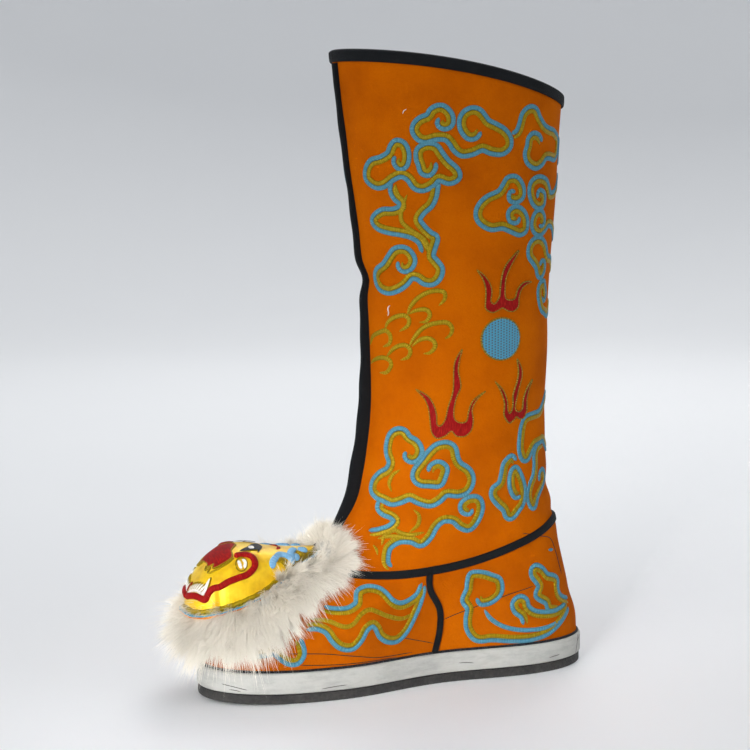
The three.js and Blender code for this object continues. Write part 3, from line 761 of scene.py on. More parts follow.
def seam_height(turn):
    """Height above the floor of the seam between shaft and foot."""
    share = np.abs((np.asarray(turn, float) + 180) % 360 - 180) / 180
    return UPPER_BASE + eased(SEAM_RISES, share) * INSTEP_HEIGHT


seam_turns = np.arange(SEAM_STEPS) / SEAM_STEPS * 360
tape_section = rounded(BINDING_WIDTH / 2, PIECE_GAP + BINDING_THICKNESS, TAPE_SINK)
seam_strip = swept(*seat_on_upper(seam_turns, seam_height(seam_turns)), tape_section, looped=True)
seam_tape = mesh_piece("seam_tape", *seam_strip)
fit_piece(seam_tape, tape_cloth, "binding", "seam_binding")

side_base = UPPER_BASE + TAPE_SINK
for side, word in SIDES:
    share = np.linspace(0, 1, SIDE_STEPS)
    turns = eased(SIDE_ANGLES, share)
    heights = side_base + share * (seam_height(turns) - side_base)
    side_strip = swept(*seat_on_upper(side * turns, heights), tape_section * [SIDE_TAPE_SHARE, 1])
    side_tape = mesh_piece(f"side_tape_{word}", *side_strip)
    fit_piece(side_tape, tape_cloth, "binding", f"side_binding_{word}")

ridge_share = np.linspace(0, 1, RIDGE_STEPS)
ridge_top = UPPER_BASE + SHAFT_HEIGHT - COLLAR_LIP - 2 * PIECE_GAP
ridge_heights = seam_height(0.0) + ridge_share * (ridge_top - seam_height(0.0))
ridge_points, ridge_out = seat_on_upper(np.zeros_like(ridge_share), ridge_heights)
ridge_depths = eased(RIDGE_DEPTHS, ridge_share) * RIDGE_DEPTH
# Sewn by hand, the ridge sways and swells by a fraction of a millimetre.
ridge_sway = 0.35 * np.sin(ridge_heights / 9) + 0.25 * np.sin(ridge_heights / 4.3)
ridge_depths += ridge_sway * 0.6
ridge_section = np.stack(
    [rounded(RIDGE_THICKNESS / 2, depth, RIDGE_SINK, fullness=0.3) for depth in ridge_depths]
)
ridge_section[..., 0] += ridge_sway[:, None] * np.clip(ridge_section[..., 1] / RIDGE_DEPTH, 0, 1)
ridge = mesh_piece("front_ridge_tape", *swept(ridge_points, ridge_out, ridge_section))
fit_piece(ridge, tape_cloth, "binding", "front_ridge")

collar_angles = round_turn(COLLAR_STEPS)
collar_points = upper_point(TOP_ROW, collar_angles)
collar_out = upper_point(TOP_ROW, collar_angles, 1.0) - collar_points
collar_up = unit(collar_points - upper_point(TOP_ROW - 2 * STEP, collar_angles))
collar_outer = PIECE_GAP + BINDING_THICKNESS
collar_middle = -UPPER_WALL / 2
bend = np.linspace(0, math.pi, 13)
fold_reach = collar_outer - collar_middle
fold = np.stack([collar_middle + fold_reach * np.cos(bend), collar_outer * np.sin(bend)], -1)
collar_flap = np.array(
    [
        [PIECE_GAP, -COLLAR_LIP],
        [collar_outer - 0.5, -COLLAR_LIP],
        [collar_outer, -COLLAR_LIP + 0.8],
        [collar_outer + 0.15, -COLLAR_LIP / 2],
    ]
)
inner_flap = (collar_flap * [-1, 1] - [UPPER_WALL, 0])[::-1]
collar_back = [[-UPPER_WALL - PIECE_GAP, PIECE_GAP], [PIECE_GAP, PIECE_GAP]]
collar_section = np.concatenate([collar_flap, fold, inner_flap, collar_back])
collar_ring = (
    collar_points[:, None]
    + collar_out[:, None] * collar_section[None, :, :1]
    + collar_up[:, None] * collar_section[None, :, 1:]
)
collar_uv = np.stack(
    np.broadcast_arrays(lengths_along(collar_points)[:, None], lengths_along(collar_section)[None, :]), -1
)
collar_faces = grid_faces(len(collar_ring), len(collar_section), looped_rows=True, looped_columns=True)
collar = mesh_piece("collar_tape", collar_ring, collar_faces, collar_uv)
fit_piece(collar, tape_cloth, "binding", "collar_binding")
for piece in (seam_tape, ridge, collar):
    bpy.ops.object.select_all(action="DESELECT")
    bpy.context.view_layer.objects.active = piece
    piece.select_set(True)
    bpy.ops.object.mode_set(mode="EDIT")
    bpy.ops.mesh.select_all(action="SELECT")
    bpy.ops.mesh.normals_make_consistent(inside=False)
    bpy.ops.object.mode_set(mode="OBJECT")


# Scrolls: clouds and wind swirls in satin stitch, each a band of sky blue with a band of olive gold along
# its inner side. The threads run across the bands. The outer side of the boot mirrors the inner side.
BLUE_WIDTH = 3.0
GOLD_WIDTH = 3.0
STITCH_RISE = 0.75
RING_STEP = 1.3
# Lines where the blue meets the gold: turn from the front in degrees, height above the floor in
# millimetres. The blue lies on the right of each line, the gold on its left.
CLOUDS = [
    [(68.5, 363), (67.5, 360), (70, 358), (73, 360), (73, 365), (70.5, 369), (67.5, 370), (64, 368),
     (62, 364.5), (58, 362.5), (55, 359), (54.5, 355), (57, 351), (60.5, 350), (65, 351.5), (70, 351.5),
     (73, 348.5), (75, 344.5), (78.5, 341.5), (84, 342.5), (89, 345), (94, 343), (100, 342.5), (104, 346),
     (104, 351), (101, 355.5), (96.5, 358.5), (92, 361), (90, 364), (87.5, 367.5), (84, 368.5),
     (80.5, 366.5), (78.5, 362), (79, 356.5), (82, 352), (85.5, 352.5), (87.5, 356)],
    [(43.8, 339.4), (42.5, 336.3), (44.8, 333.1), (48.1, 335), (49.4, 341.3), (47.8, 346.9), (44, 348.5),
     (41, 345.6), (38.8, 341.3), (33.1, 338.1), (26.3, 336.3), (21.9, 331.3), (21.3, 325.6),
     (27.5, 321.5), (33.8, 322.5), (39.4, 326.3), (45, 328.5), (49.4, 326.3), (52.5, 321.3), (56.9, 320),
     (61.9, 322.5), (65.6, 326.3), (71.3, 324.4), (75.6, 326.9), (75, 331.3), (70.6, 336.3),
     (67.5, 341.3), (65, 345.6), (60.6, 346.5), (56.3, 343.8), (55.6, 338.8), (56.5, 335), (57.5, 330.6),
     (60.6, 329.4), (63.1, 332.5), (63.5, 336.3)],
    [(40, 323), (38.5, 318.8), (40, 314.4), (43.1, 311.3), (43, 308), (37.5, 305.6), (30, 305.3),
     (23.1, 301.9), (21.3, 298.5), (25.6, 295), (33.8, 293.1), (42.5, 291.9), (48.8, 290), (53.1, 286.3),
     (55, 280)],
    [(38.8, 273.8), (38.5, 270.6), (41.3, 268.8), (45, 270.3), (47.3, 275), (45, 280), (41, 281.9),
     (35.6, 280.6), (31.3, 276.3), (26.3, 271.3), (19.4, 267.8), (15.6, 263.8), (16.3, 259.4),
     (21.3, 256), (28.8, 254.8), (36.3, 256.9), (41.9, 260.6), (45.6, 264.4), (50, 264), (53.8, 261.3),
     (58.8, 261), (62.5, 264.4), (63.8, 269.4), (61.5, 273.5), (58.8, 277.5), (60, 282.5), (61.9, 288.8),
     (58.8, 291.3), (55, 295.6), (52.5, 300.6), (55.6, 305.6), (60.3, 310), (62.8, 315.6), (63.8, 320.6),
     (65, 323.8)],
    [(126.9, 348.1), (124.4, 351.9), (120.6, 353.1), (117.5, 350.6), (116.9, 346.3), (115.6, 341.3),
     (117.5, 336.3), (123.1, 333.5), (128.1, 335.6), (131.9, 339.4), (137.5, 339.8), (145, 338.8),
     (149, 342), (150, 347), (148.5, 351.5), (144, 353.5), (140, 355.3), (133.8, 356.5), (128.8, 358.8),
     (124.4, 363.8), (121.3, 368.8), (117, 369.5), (113, 366), (111.3, 360), (109.4, 355), (106, 352.5)],
    [(108.8, 316), (106.3, 316.3), (106.3, 313.1), (110, 312.3), (113.5, 315), (113.1, 320.6),
     (109.4, 325.6), (104.4, 325.4), (101.9, 321.3), (98.8, 316.9), (92.5, 313.8), (88.1, 309.4),
     (86.3, 303.8), (88.1, 298.8), (93.8, 295.3), (100.6, 296), (106.3, 293.8), (112.5, 291.5),
     (116.9, 293.8), (116.9, 300), (113.8, 305), (109.4, 306.9), (105.6, 304.4), (106.3, 300),
     (110, 299.4), (110.6, 301.9)],
    [(180, 317), (176, 320), (171, 325), (164, 326), (157, 321), (149, 316), (141.3, 315), (138.1, 318.8),
     (133.8, 323.8), (126.9, 325.6), (121.3, 323.1), (120, 317.5), (122.5, 311.3), (127.5, 308.1),
     (132.5, 309.4), (132.5, 315), (128.1, 316.9), (127.5, 313)],
    [(130, 297.3), (133.5, 296.5), (134.4, 300.3), (130.6, 304), (126, 303.1), (123.5, 298.1),
     (125, 293.1), (130.6, 290.6), (136.3, 293.1), (141.9, 296.5), (149.4, 295), (157, 290), (165, 286.5),
     (173, 289), (180, 294)],
    [(180, 273), (174, 268), (166, 266), (158, 270), (150, 273.5), (145, 273.8), (141.3, 276.9),
     (138.1, 282.5), (132.5, 286.3), (126.3, 286.3), (121.9, 282.5), (121.9, 276.9), (126.3, 272.5),
     (130, 268.8), (131.9, 264.4), (135, 263.1), (138.1, 266.3), (138.1, 270.6), (135.6, 271.3),
     (134.4, 268.8)],
    [(139.4, 250), (141.9, 247.5), (144.4, 251.3), (141.3, 256.3), (140, 258.1), (135.6, 256.9),
     (133.8, 252.5), (135, 246.3), (138.1, 241.3), (143.1, 239.4), (150, 237), (158, 239), (166, 243.5),
     (173, 242), (180, 237)],
    [(43.8, 151.9), (43.1, 149.4), (46.3, 147.3), (50, 148.8), (51.3, 153.8), (48.1, 158.8),
     (43.1, 161.3), (39.4, 165), (34.4, 165.6), (29.4, 162.5), (27.8, 156.3), (28.8, 150.6), (31.9, 145),
     (30, 140), (24.4, 136.9), (20, 131.9), (20.6, 126.3), (26.3, 122.8), (32.5, 121.3), (38.8, 119.4),
     (43.8, 120.6), (49.4, 123.1), (55.6, 120.6), (62.5, 118.8), (66.9, 121.3), (70.6, 125.6),
     (77.5, 125), (82.5, 127.5), (84.4, 133.8), (81.9, 140), (76.3, 144.4), (73.8, 148.8), (71.9, 155),
     (67.5, 157.5), (61.9, 156.3), (57.5, 151.9), (54.4, 146.9), (50.6, 141.3), (50, 136.3),
     (53.8, 132.5), (60, 131.9), (65.6, 131.9), (67.5, 137), (68, 142), (64, 145), (60, 143),
     (59.5, 139.5)],
    [(30.6, 120), (31.3, 115.6), (36.3, 112.5), (42.5, 110.6), (46.9, 107.5), (45.6, 103.1), (40, 100.6),
     (33.8, 99.4)],
    [(65, 78.1), (58.8, 81.9), (53.8, 86.9), (51.9, 91.3), (55, 95), (61.3, 95), (67.5, 92.5),
     (69.8, 97.5), (70.3, 103.8), (73.1, 108.1), (78.8, 107.5), (83.8, 103.1), (88.8, 101.5),
     (91.5, 107.5), (91.9, 115), (89.4, 120.6), (84.4, 121.3), (81, 118.1), (82.3, 113.8), (85.6, 112.3),
     (86, 115)],
    [(113.5, 143), (110.6, 146.3), (105.8, 142.5), (104.4, 136), (103, 130), (99, 126.5), (98.8, 122),
     (102.5, 117), (107, 112.5), (109, 108), (112, 106.8), (116.5, 111), (120.3, 115.5), (121, 122),
     (119.5, 128.5), (117, 134.5), (114, 138.5), (111.3, 136.5), (110.4, 130), (112, 124), (115, 120.5),
     (118, 121.5)],
    [(180, 175), (173, 177), (166, 182), (157, 183), (149, 178), (141, 173), (132, 172), (124, 171),
     (120.6, 167.5), (118.8, 158.8), (118.1, 151.3), (120, 145.6), (123.8, 144.4), (127.5, 148.8),
     (131.9, 153.1), (138.8, 154.4), (145.6, 155), (153, 150.5), (161, 147.5), (168, 149), (174, 153),
     (180, 155)],
    [(146, 152), (137, 151), (133, 146), (133, 139), (131.5, 132.5), (127.5, 126.5), (126, 120),
     (128, 113), (131, 111.5), (136, 117), (141, 121), (146.5, 125.5), (147.5, 130.5), (143.5, 133.5),
     (139.8, 131.5), (141, 128)],
    [(111, 54.8), (112.5, 51), (115.4, 51.6), (118, 55.4), (118, 60.4), (115.8, 65.4), (111.8, 67.9),
     (108.1, 69.8), (103.3, 70.4), (104.8, 65.4), (106.3, 60.4), (106.3, 53.5), (108.5, 47.9),
     (108.1, 41), (108.1, 34.8), (109.6, 28.5), (111.8, 26.3), (115.4, 26.6), (122.1, 24.8),
     (129.4, 24.1), (136.8, 26), (142.6, 29.8), (150, 36), (155.9, 40.4)],
    [(180, 345), (174, 349), (167, 350), (161, 346), (160.5, 340), (165, 336.5), (170, 339), (169, 343)],
    [(154.4, 41), (147.1, 39.1), (139.7, 38.5), (133.1, 40.4), (129.8, 44.8), (129, 49.8), (126.5, 51.6),
     (124.4, 48.5), (125, 43.5), (127.2, 39.8), (127.8, 34.1)],
    [(158.8, 43.5), (152.9, 46), (148.9, 49.8), (147.4, 54.8), (147.8, 59.8), (144.9, 62.3),
     (140.4, 64.1), (136.8, 68.5), (133.1, 71), (130.9, 69.8), (131.6, 66), (134.6, 61.6), (136, 57.9),
     (134.6, 52.9), (136.8, 49.8), (140.1, 46.6), (141.2, 41.6), (147.1, 40.4)],
    [(54.6, 47.9), (58.2, 47.9), (61.9, 44.8), (64.5, 38.5), (67.1, 34.1), (70.4, 32.9), (72.9, 37.3),
     (74.4, 43.5), (76.3, 46), (78.1, 43.5), (79.6, 37.9), (82.1, 34.1), (85.1, 33.5), (88, 38.5),
     (89.9, 46), (90.6, 53.5), (89.5, 61), (87.3, 66.6)],
    [(87.3, 67), (88.6, 61), (87, 57), (84, 55.5), (80, 58.5), (76, 63), (71.5, 66.5), (66.5, 68),
     (64.5, 66.5), (66.5, 63), (68, 59.5), (66, 56.5), (61, 57), (57, 58.5)],
    [(35.8, 32.3), (39.9, 32.3), (44.3, 33.5), (46.1, 31), (49.4, 26.6), (52.4, 26.6), (54.2, 31),
     (53.8, 36), (52.4, 41)],
]
# Blue alone, tapering to both ends.
BLUE_STROKES = [
    [(153.7, 39.1), (147.1, 33.5), (139.7, 30.4), (132.4, 29.5), (125.7, 30.4), (119.9, 33.5),
     (115.8, 39.1), (113.6, 46)],
    [(142.4, 80.6), (144.9, 80.4), (147.4, 80.0)],
]
# Gold alone, inside the clouds and as swirls of wind, tapering to both ends.
GOLD_STROKES = [
    [(47.5, 316), (45, 311), (42.5, 305), (42.5, 299), (47, 294.5), (52, 291), (56, 287), (57.5, 281),
     (57, 277)],
    [(41, 322), (42, 316), (46, 312.5)],
    [(3.6, 219), (9, 225), (17.5, 228.1), (23.8, 229.4), (27.5, 226.3), (26.3, 221.3), (20, 218.8)],
    [(23.1, 230), (25.6, 234.4), (31.3, 238.1), (38.8, 239.8), (42.5, 237.5), (41.3, 233.1), (35, 229.4)],
    [(41.3, 240), (45, 246.9), (51.3, 252.5), (58.8, 255.6), (65, 255), (65.6, 250.6), (61.9, 246.3)],
    [(42.5, 240.6), (47.5, 243.1), (53.8, 243.8), (56.3, 240.6), (53.8, 236.3), (49.4, 235.6)],
    [(3.6, 207), (10, 210), (18.8, 211.9), (25.6, 210.6), (26.9, 206.9), (22.5, 202.5), (15.6, 201.9)],
    [(23.1, 212.5), (28.8, 217.5), (33.8, 220), (39.4, 220.6), (42.5, 217.5), (40.6, 213.1), (35, 211)],
    [(41.9, 220), (45, 225), (51.3, 231.9), (58.8, 235), (66.3, 235.6), (69.4, 231.9), (68.1, 227.5),
     (65, 225.3)],
    [(43.8, 220), (48.1, 223.8), (53.8, 225.6), (58.1, 223.8), (58.8, 220), (55.6, 216.3), (51.3, 215.6)],
    [(39.4, 140.6), (34.4, 136.9), (33.1, 131.3), (36.3, 126.3)],
    [(54.4, 115), (58.8, 111.3), (60.6, 105), (58.1, 100)],
    [(66, 100), (60, 98.5), (54, 99.5), (49, 101.5), (45, 98), (47, 92)],
    [(62, 95.5), (55, 97), (48, 97.5), (42, 96)],
    [(50, 86), (46, 89.5), (42, 92)],
    [(54.6, 52.9), (61.2, 51), (67.1, 46.6), (70, 47.9), (71.5, 53.5), (73.7, 55.4), (77.4, 52.9),
     (81, 49.8), (86.2, 46.6), (89.9, 49.1)],
]


def smooth_line(line, step, scale):
    """Two coordinates along a smooth curve through given points, a step apart when scaled to millimetres."""
    table = np.array(line, float)
    count = max(int(np.hypot(*(np.diff(table, axis=0) * scale).T).sum() / step), 6)
    places = np.linspace(0, len(table) - 1, count)
    along = through_rows(table, places)
    return along[:, 0], along[:, 1]


def stitched(line, seat, width, shift=0.0, rise=STITCH_RISE, taper=0.9, step=RING_STEP, scale=(1.0, 1.0)):
    """A domed band of stitches along a line, with ends that narrow over a length of taper widths."""
    first, second = smooth_line(line, step, scale)
    points, out = seat(first, second)
    run = lengths_along(points)
    to_end = np.minimum(run, run[-1] - run) / (taper * width)
    full = np.sqrt(np.clip(1 - (1 - np.clip(to_end, 0, 1)) ** 2, 0.03, 1))
    section = rounded(width / 2, rise, 0.4, corners=6, fullness=0.6)
    sections = section[None] * full[:, None, None]
    sections[..., 0] += shift
    return swept(points, out, sections)


def joined(name, strips):
    """One piece from several strips."""
    points, faces, maps, start = [], [], [], 0
    for ring, ring_faces, ring_map in strips:
        points.append(ring.reshape(-1, 3))
        maps.append(ring_map.reshape(-1, 2))
        faces.extend([corner + start for corner in face] for face in ring_faces)
        start += ring[..., 0].size
    return mesh_piece(name, np.concatenate(points), faces, np.concatenate(maps))


def stitch_group():
    """Node group: threads side by side across a band, each with its own tone, and their relief."""
    inputs = {"Place": "Vector", "Threads": "Float"}
    tree, given, result = new_group("satin_stitch", inputs, {"Tone": "Float", "Normal": "Vector"})
    scale = add_node(tree, "ShaderNodeCombineXYZ", {"X": given["Threads"], "Y": 0.22, "Z": 1.0}).outputs[0]
    tone = noise(tree, stretched(tree, given["Place"], scale), 1.0, 3.0, 0.6)
    feed(result, Tone=tone, Normal=bump(tree, tone, 0.0005, 0.6))
    return tree


satin_stitch = stitch_group()


def make_thread(name, colour, shade, glint, threads, metallic, roughness):
    """Satin stitch: threads side by side across the band, each with its own tone and sheen."""
    material, tree, shader = new_material(name, Metallic=metallic, Specular_IOR_Level=0.12)
    stitches = use_group(tree, satin_stitch, Place=own_uv(tree), Threads=threads)
    feed(
        shader,
        Base_Color=ramp(tree, stitches["Tone"], [(0.3, shade), (0.5, colour), (0.74, glint)]),
        Roughness=math_node(tree, "MULTIPLY_ADD", stitches["Tone"], 0.25, roughness),
        Normal=stitches["Normal"],
    )
    return material


blue_thread = make_thread(
    "blue_thread", (0.06, 0.205, 0.28), (0.032, 0.13, 0.19), (0.16, 0.34, 0.42), 2.2, 0.0, 0.42
)
gold_thread = make_thread(
    "gold_thread", (0.27, 0.18, 0.002), (0.12, 0.075, 0.001), (0.62, 0.46, 0.03), 3.4, 0.35, 0.3
)


def mirrored(line, side):
    """The line on the inner side, or its mirror image on the outer side."""
    return [(side * turn, height) for turn, height in line]


def on_felt(line, side, width, **shape):
    """A band or cord sewn on the felt, on the inner side or mirrored on the outer side."""
    return stitched(mirrored(line, side), seat_on_upper, width, **shape)


for side, word in SIDES:
    blue = [on_felt(line, side, BLUE_WIDTH, shift=-side * BLUE_WIDTH / 2) for line in CLOUDS]
    blue += [on_felt(line, side, BLUE_WIDTH, taper=2.5) for line in BLUE_STROKES]
    gold = [on_felt(line, side, GOLD_WIDTH, shift=side * GOLD_WIDTH / 2, taper=2.5) for line in CLOUDS]
    gold += [on_felt(line, side, GOLD_WIDTH, taper=4.5) for line in GOLD_STROKES]
    fit_piece(joined(f"blue_scrolls_{word}", blue), blue_thread, "blue_satin")
    fit_piece(joined(f"gold_scrolls_{word}", gold), gold_thread, "gold_braid")


# Flames and ball: red flames with a thin flecked cord round them, and between them a blue ball whose long
# stitches are held down by rows of small dark ones.
FLAME_RISE = 0.55
CORD_WIDTH = 0.75
COLUMN_HALF = 1.0  # half the spacing of the ball's rows of dark stitches, in millimetres
COLUMN_THICK = 0.36  # half the width of a row
STITCH_HALF = 0.85  # half the spacing of the stitches in a row
STITCH_LONG = 0.42  # half the length of a stitch
GRAIN = 1.7  # spacing of the points inside a filled patch
FLAMES = [
    [(84.6, 269), (88.1, 263.1), (90, 256.3), (89.8, 248.8), (90, 243.8), (94.4, 241.3), (98.8, 243.1),
     (101, 244), (105, 241.9), (108.8, 241.5), (112.5, 244.4), (113.1, 250), (115, 255), (119.4, 258.1),
     (124.4, 259.6), (120, 260), (115.6, 258.8), (111.9, 255), (110, 250), (106.9, 248.8), (103.1, 250),
     (102.5, 255), (103.1, 262.5), (106.3, 270), (112.3, 280.3), (107.5, 276.3), (103.1, 271.3),
     (100.6, 265), (99.4, 257.5), (98.8, 251.3), (95.6, 246.9), (93.1, 248.8), (93.8, 255), (91.9, 261.3),
     (88.1, 266.3)],
    [(45.4, 193.1), (51.3, 187.5), (54.4, 181.3), (55.9, 173.8), (57.5, 165.6), (61.3, 161.5),
     (66.3, 163.1), (69.8, 166), (73.1, 162.8), (78.1, 162.5), (81.9, 166.3), (82.8, 172.5), (81.9, 180),
     (85, 186.3), (90, 190.9), (82.5, 185.6), (79.8, 178.8), (78.8, 172.5), (75, 171.3), (71.3, 173.8),
     (70.6, 180), (71.9, 187.5), (74.4, 193.8), (74, 198.8), (72.8, 205), (73.8, 212.5), (75.3, 218.4),
     (71, 211.3), (70, 203.8), (70, 196.3), (69.4, 190), (66.9, 181.3), (65.6, 173.8), (63.1, 169.6),
     (60.6, 170.6), (60, 176.3), (58.1, 182.5), (53.8, 188.8)],
    [(96, 197.5), (100, 191), (103.1, 182.5), (103.1, 175), (107.5, 169.3), (111, 171), (113, 173),
     (116.3, 171.3), (120, 171.5), (122.5, 176), (122, 183), (124, 190), (128, 196), (122, 191),
     (118.5, 184), (118, 178), (115, 176), (111.5, 179), (113.8, 190), (116.5, 198), (116.3, 203.8),
     (112.3, 210.6), (113.5, 203), (112.5, 196), (109.5, 188), (109.5, 180), (107.5, 175.6), (105.8, 178),
     (105, 184), (102, 191)],
]
FRONT_FLAME = [
    (-6.5, 284), (-8, 276), (-7.5, 268), (-9, 260), (-13, 256), (-17, 259), (-18, 266), (-15.5, 272),
    (-15, 264.5), (-12.5, 262), (-11, 268), (-9.5, 277),
]  # behind the front ridge, on the outer side alone
BALL_MIDDLE = (100.6, 224.1)
BALL_RADIUS = 13.5


def patch(outline, seat, rise, scale=(1.0, 1.0)):
    """A filled patch of stitches: its outline and a lattice of points inside it, made into triangles. The
    outline is in the two coordinates of the seat, and scale turns them into millimetres."""
    edge = np.array(outline, float) * scale
    low, high = edge.min(0), edge.max(0)
    lattice = np.stack(np.meshgrid(*[np.arange(a + 0.3, b, GRAIN) for a, b in zip(low, high)]), -1)
    lattice = lattice.reshape(-1, 2)
    lattice = lattice[np.hypot(*(lattice[:, None] - edge[None]).transpose(2, 0, 1)).min(1) > GRAIN / 2]
    points = [Vector(p) for p in np.concatenate([edge, lattice])]
    found = delaunay_2d_cdt(points, [], [list(range(len(edge)))], 1, 1e-4)
    flat = np.array([tuple(p) for p in found[0]])
    seats, out = seat(flat[:, 0] / scale[0], flat[:, 1] / scale[1])
    faces = [list(face) for face in found[2]]
    first = [seats[i] + out[i] for i in faces[0]]
    if np.dot(np.cross(first[1] - first[0], first[2] - first[0]), out[faces[0][0]]) < 0:
        faces = [face[::-1] for face in faces]
    return seats + out * rise, faces, flat


def bordered(outline):
    """The outline as a closed line for its cord, which starts and ends at the same point."""
    return [*outline, outline[0]]


def oval(middle, half, step):
    """Points round an oval, so many degrees apart."""
    turns = np.radians(np.arange(0, 360, step))
    return (np.array(middle) + np.array(half) * np.stack([np.cos(turns), np.sin(turns)], -1)).tolist()


def make_couched():
    """Blue threads held down by rows of short dark stitches, shifted from row to row."""
    material, tree, shader = new_material("couched_blue", Roughness=0.5, Specular_IOR_Level=0.15)
    place = own_uv(tree)
    across, along = add_node(tree, "ShaderNodeSeparateXYZ", {"Vector": place}).outputs[:2]
    in_row = math_node(tree, "LESS_THAN", math_node(tree, "PINGPONG", across, COLUMN_HALF), COLUMN_THICK)
    every_other = math_node(tree, "PINGPONG", across, 2 * COLUMN_HALF)
    is_second = math_node(tree, "GREATER_THAN", every_other, COLUMN_HALF)
    shift = math_node(tree, "MULTIPLY", is_second, STITCH_HALF)
    shifted = math_node(tree, "PINGPONG", math_node(tree, "ADD", along, shift), STITCH_HALF)
    stitches = math_node(tree, "MULTIPLY", in_row, math_node(tree, "LESS_THAN", shifted, STITCH_LONG))
    tone = noise(tree, stretched(tree, place, (3.0, 0.3, 1.0)), 1.0)
    blue = mix_colours(tree, tone, (0.04, 0.2, 0.31), (0.09, 0.31, 0.44))
    feed(
        shader,
        Base_Color=mix_colours(tree, stitches, blue, (0.07, 0.035, 0.02)),
        Normal=bump(tree, math_node(tree, "SUBTRACT", tone, stitches), 0.0004, 0.6),
    )
    return material


red_thread = make_thread(
    "red_thread", (0.25, 0.001, 0.001), (0.14, 0.001, 0.001), (0.42, 0.015, 0.01), 2.0, 0.0, 0.5
)
couched_blue = make_couched()
flecked_thread = make_thread(
    "flecked_thread", (0.2, 0.13, 0.01), (0.015, 0.01, 0.004), (0.6, 0.45, 0.08), 1.3, 0.2, 0.4
)
for side, word in SIDES:
    outlines = [mirrored(line, side) for line in FLAMES]
    if side < 0:
        outlines.append(FRONT_FLAME)
    flames = [patch(line, seat_on_upper, FLAME_RISE) for line in outlines]
    fit_piece(joined(f"flames_{word}", flames), red_thread, "red_satin")
    circle = mirrored(oval(BALL_MIDDLE, BALL_RADIUS, 10), side)
    fit_piece(joined(f"ball_{word}", [patch(circle, seat_on_upper, FLAME_RISE)]), couched_blue, "blue_satin")
    cords = [on_felt(bordered(line), 1, CORD_WIDTH, rise=0.9, taper=0.5, step=1.4) for line in outlines]
    fit_piece(joined(f"flame_cords_{word}", cords), flecked_thread, "gold_braid")
    ball_cord = [on_felt(bordered(circle), 1, 1.1, rise=0.9, taper=0.3)]
    fit_piece(joined(f"ball_cord_{word}", ball_cord), flecked_thread, "gold_braid")


# Seams and marks: black thread closes the felt down the back and along the sole, and runs in loose lines
# over the counter. The white edge band of the sole is joined at the heel and scuffed, and bits of lint
# cling to the felt.
BACK_SEAM = [(180, height) for height in range(398, 22, -12)]
THREAD_LINES = [
    [(49, 32), (61.2, 30.4), (71.5, 26.6), (78.8, 23.5), (89.9, 22.9)],
    [(53, 24), (67.8, 22.3), (85, 21.5)],
    [(84.7, 35.4), (90, 31.6), (97.9, 26)],
    [(100, 41.6), (107.4, 46.6), (122, 54.8), (133, 59)],
    [(120, 95), (133, 91.5), (145, 88), (150, 80), (155, 62)],
]
LINT = [[(26.5, 239), (27.5, 241), (27.2, 244), (29, 246)], [(48.6, 366), (49.4, 368), (51, 369)]]
# Scuffs on the white edge: turn in degrees and height in millimetres of both ends.
SCUFFS = [
    (157, 7.2, 160, 19.3), (159.5, 15, 164, 18.6), (20, 12, 33, 9.4), (24, 9, 30, 8.2),
    (60, 8.6, 68, 9.6), (104, 12.4, 109, 11.4), (137, 9.5, 143, 10.2), (-38, 10, -30, 12.5),
    (-120, 9, -112, 10), (-160, 14, -154, 16),
]
WELT_MARGIN = 0.3  # millimetres outwards from the felt, and above its lower edge


def seat_on_edge(turn, height):
    """Points on the side of the midsole with their outward directions."""
    angle = np.radians(turn)
    point = upper_point(0.0, angle, MIDSOLE_MARGIN)
    out = upper_point(0.0, angle, MIDSOLE_MARGIN + 1) - point
    point[..., 2] += height - UPPER_BASE
    return point, unit(out)


dark_thread = make_thread(
    "black_thread", (0.012, 0.012, 0.014), (0.004, 0.004, 0.005), (0.06, 0.06, 0.07), 2.4, 0.0, 0.4
)
seams = [on_felt(BACK_SEAM, 1, 1.1, rise=0.6, step=2.4)]
for side in (1, -1):
    seams += [on_felt(line, side, 0.5, rise=0.3, taper=3, step=2.0) for line in THREAD_LINES]
fit_piece(joined("thread_lines", seams), dark_thread, "binding")
welt_angles = round_turn(COLLAR_STEPS)
welt_points = upper_point(0.0, welt_angles, WELT_MARGIN)
welt_out = upper_point(0.0, welt_angles, WELT_MARGIN + 1) - welt_points
welt_points[:, 2] += WELT_MARGIN
welt_section = rounded(0.8, 0.9, 0.2, corners=6)
welt = mesh_piece("sole_stitching", *swept(welt_points, welt_out, welt_section, looped=True))
fit_piece(welt, dark_thread, "binding")
scuffs = []
for turn, height, far_turn, far_height in SCUFFS:
    halfway = ((turn + far_turn) / 2 + 0.3, (height + far_height) / 2 + 0.2)
    line = [(turn, height), halfway, (far_turn, far_height)]
    scuffs.append(stitched(line, seat_on_edge, 0.5, rise=0.1, taper=4, step=1.0))
scuff_grime = new_material("scuff_grime", Roughness=0.9, Base_Color=(0.09, 0.085, 0.08, 1.0))[0]
fit_piece(joined("sole_scuffs", scuffs), scuff_grime, "midsole")
white_thread = make_thread(
    "white_thread", (0.78, 0.76, 0.72), (0.55, 0.52, 0.48), (0.9, 0.9, 0.88), 2.2, 0.0, 0.4
)
lint = [on_felt(line, 1, 0.6, rise=0.7, taper=4, step=0.8) for line in LINT]
fit_piece(joined("lint", lint), white_thread, "head_trim")


# Tiger head: a small cushion of yellow satin, stuffed tight, sewn down on the toe. Mouth, nose, eyes and
# cheek curls are cords and satin stitch. It is tightest on the snout and puckers along its rim.
HEAD_LENGTH = 90.0
HEAD_WIDTH = 60.0
HEAD_HEIGHT = 31.0
SNOUT_OVERHANG = 11.0
HEAD_SQUARENESS = 0.8
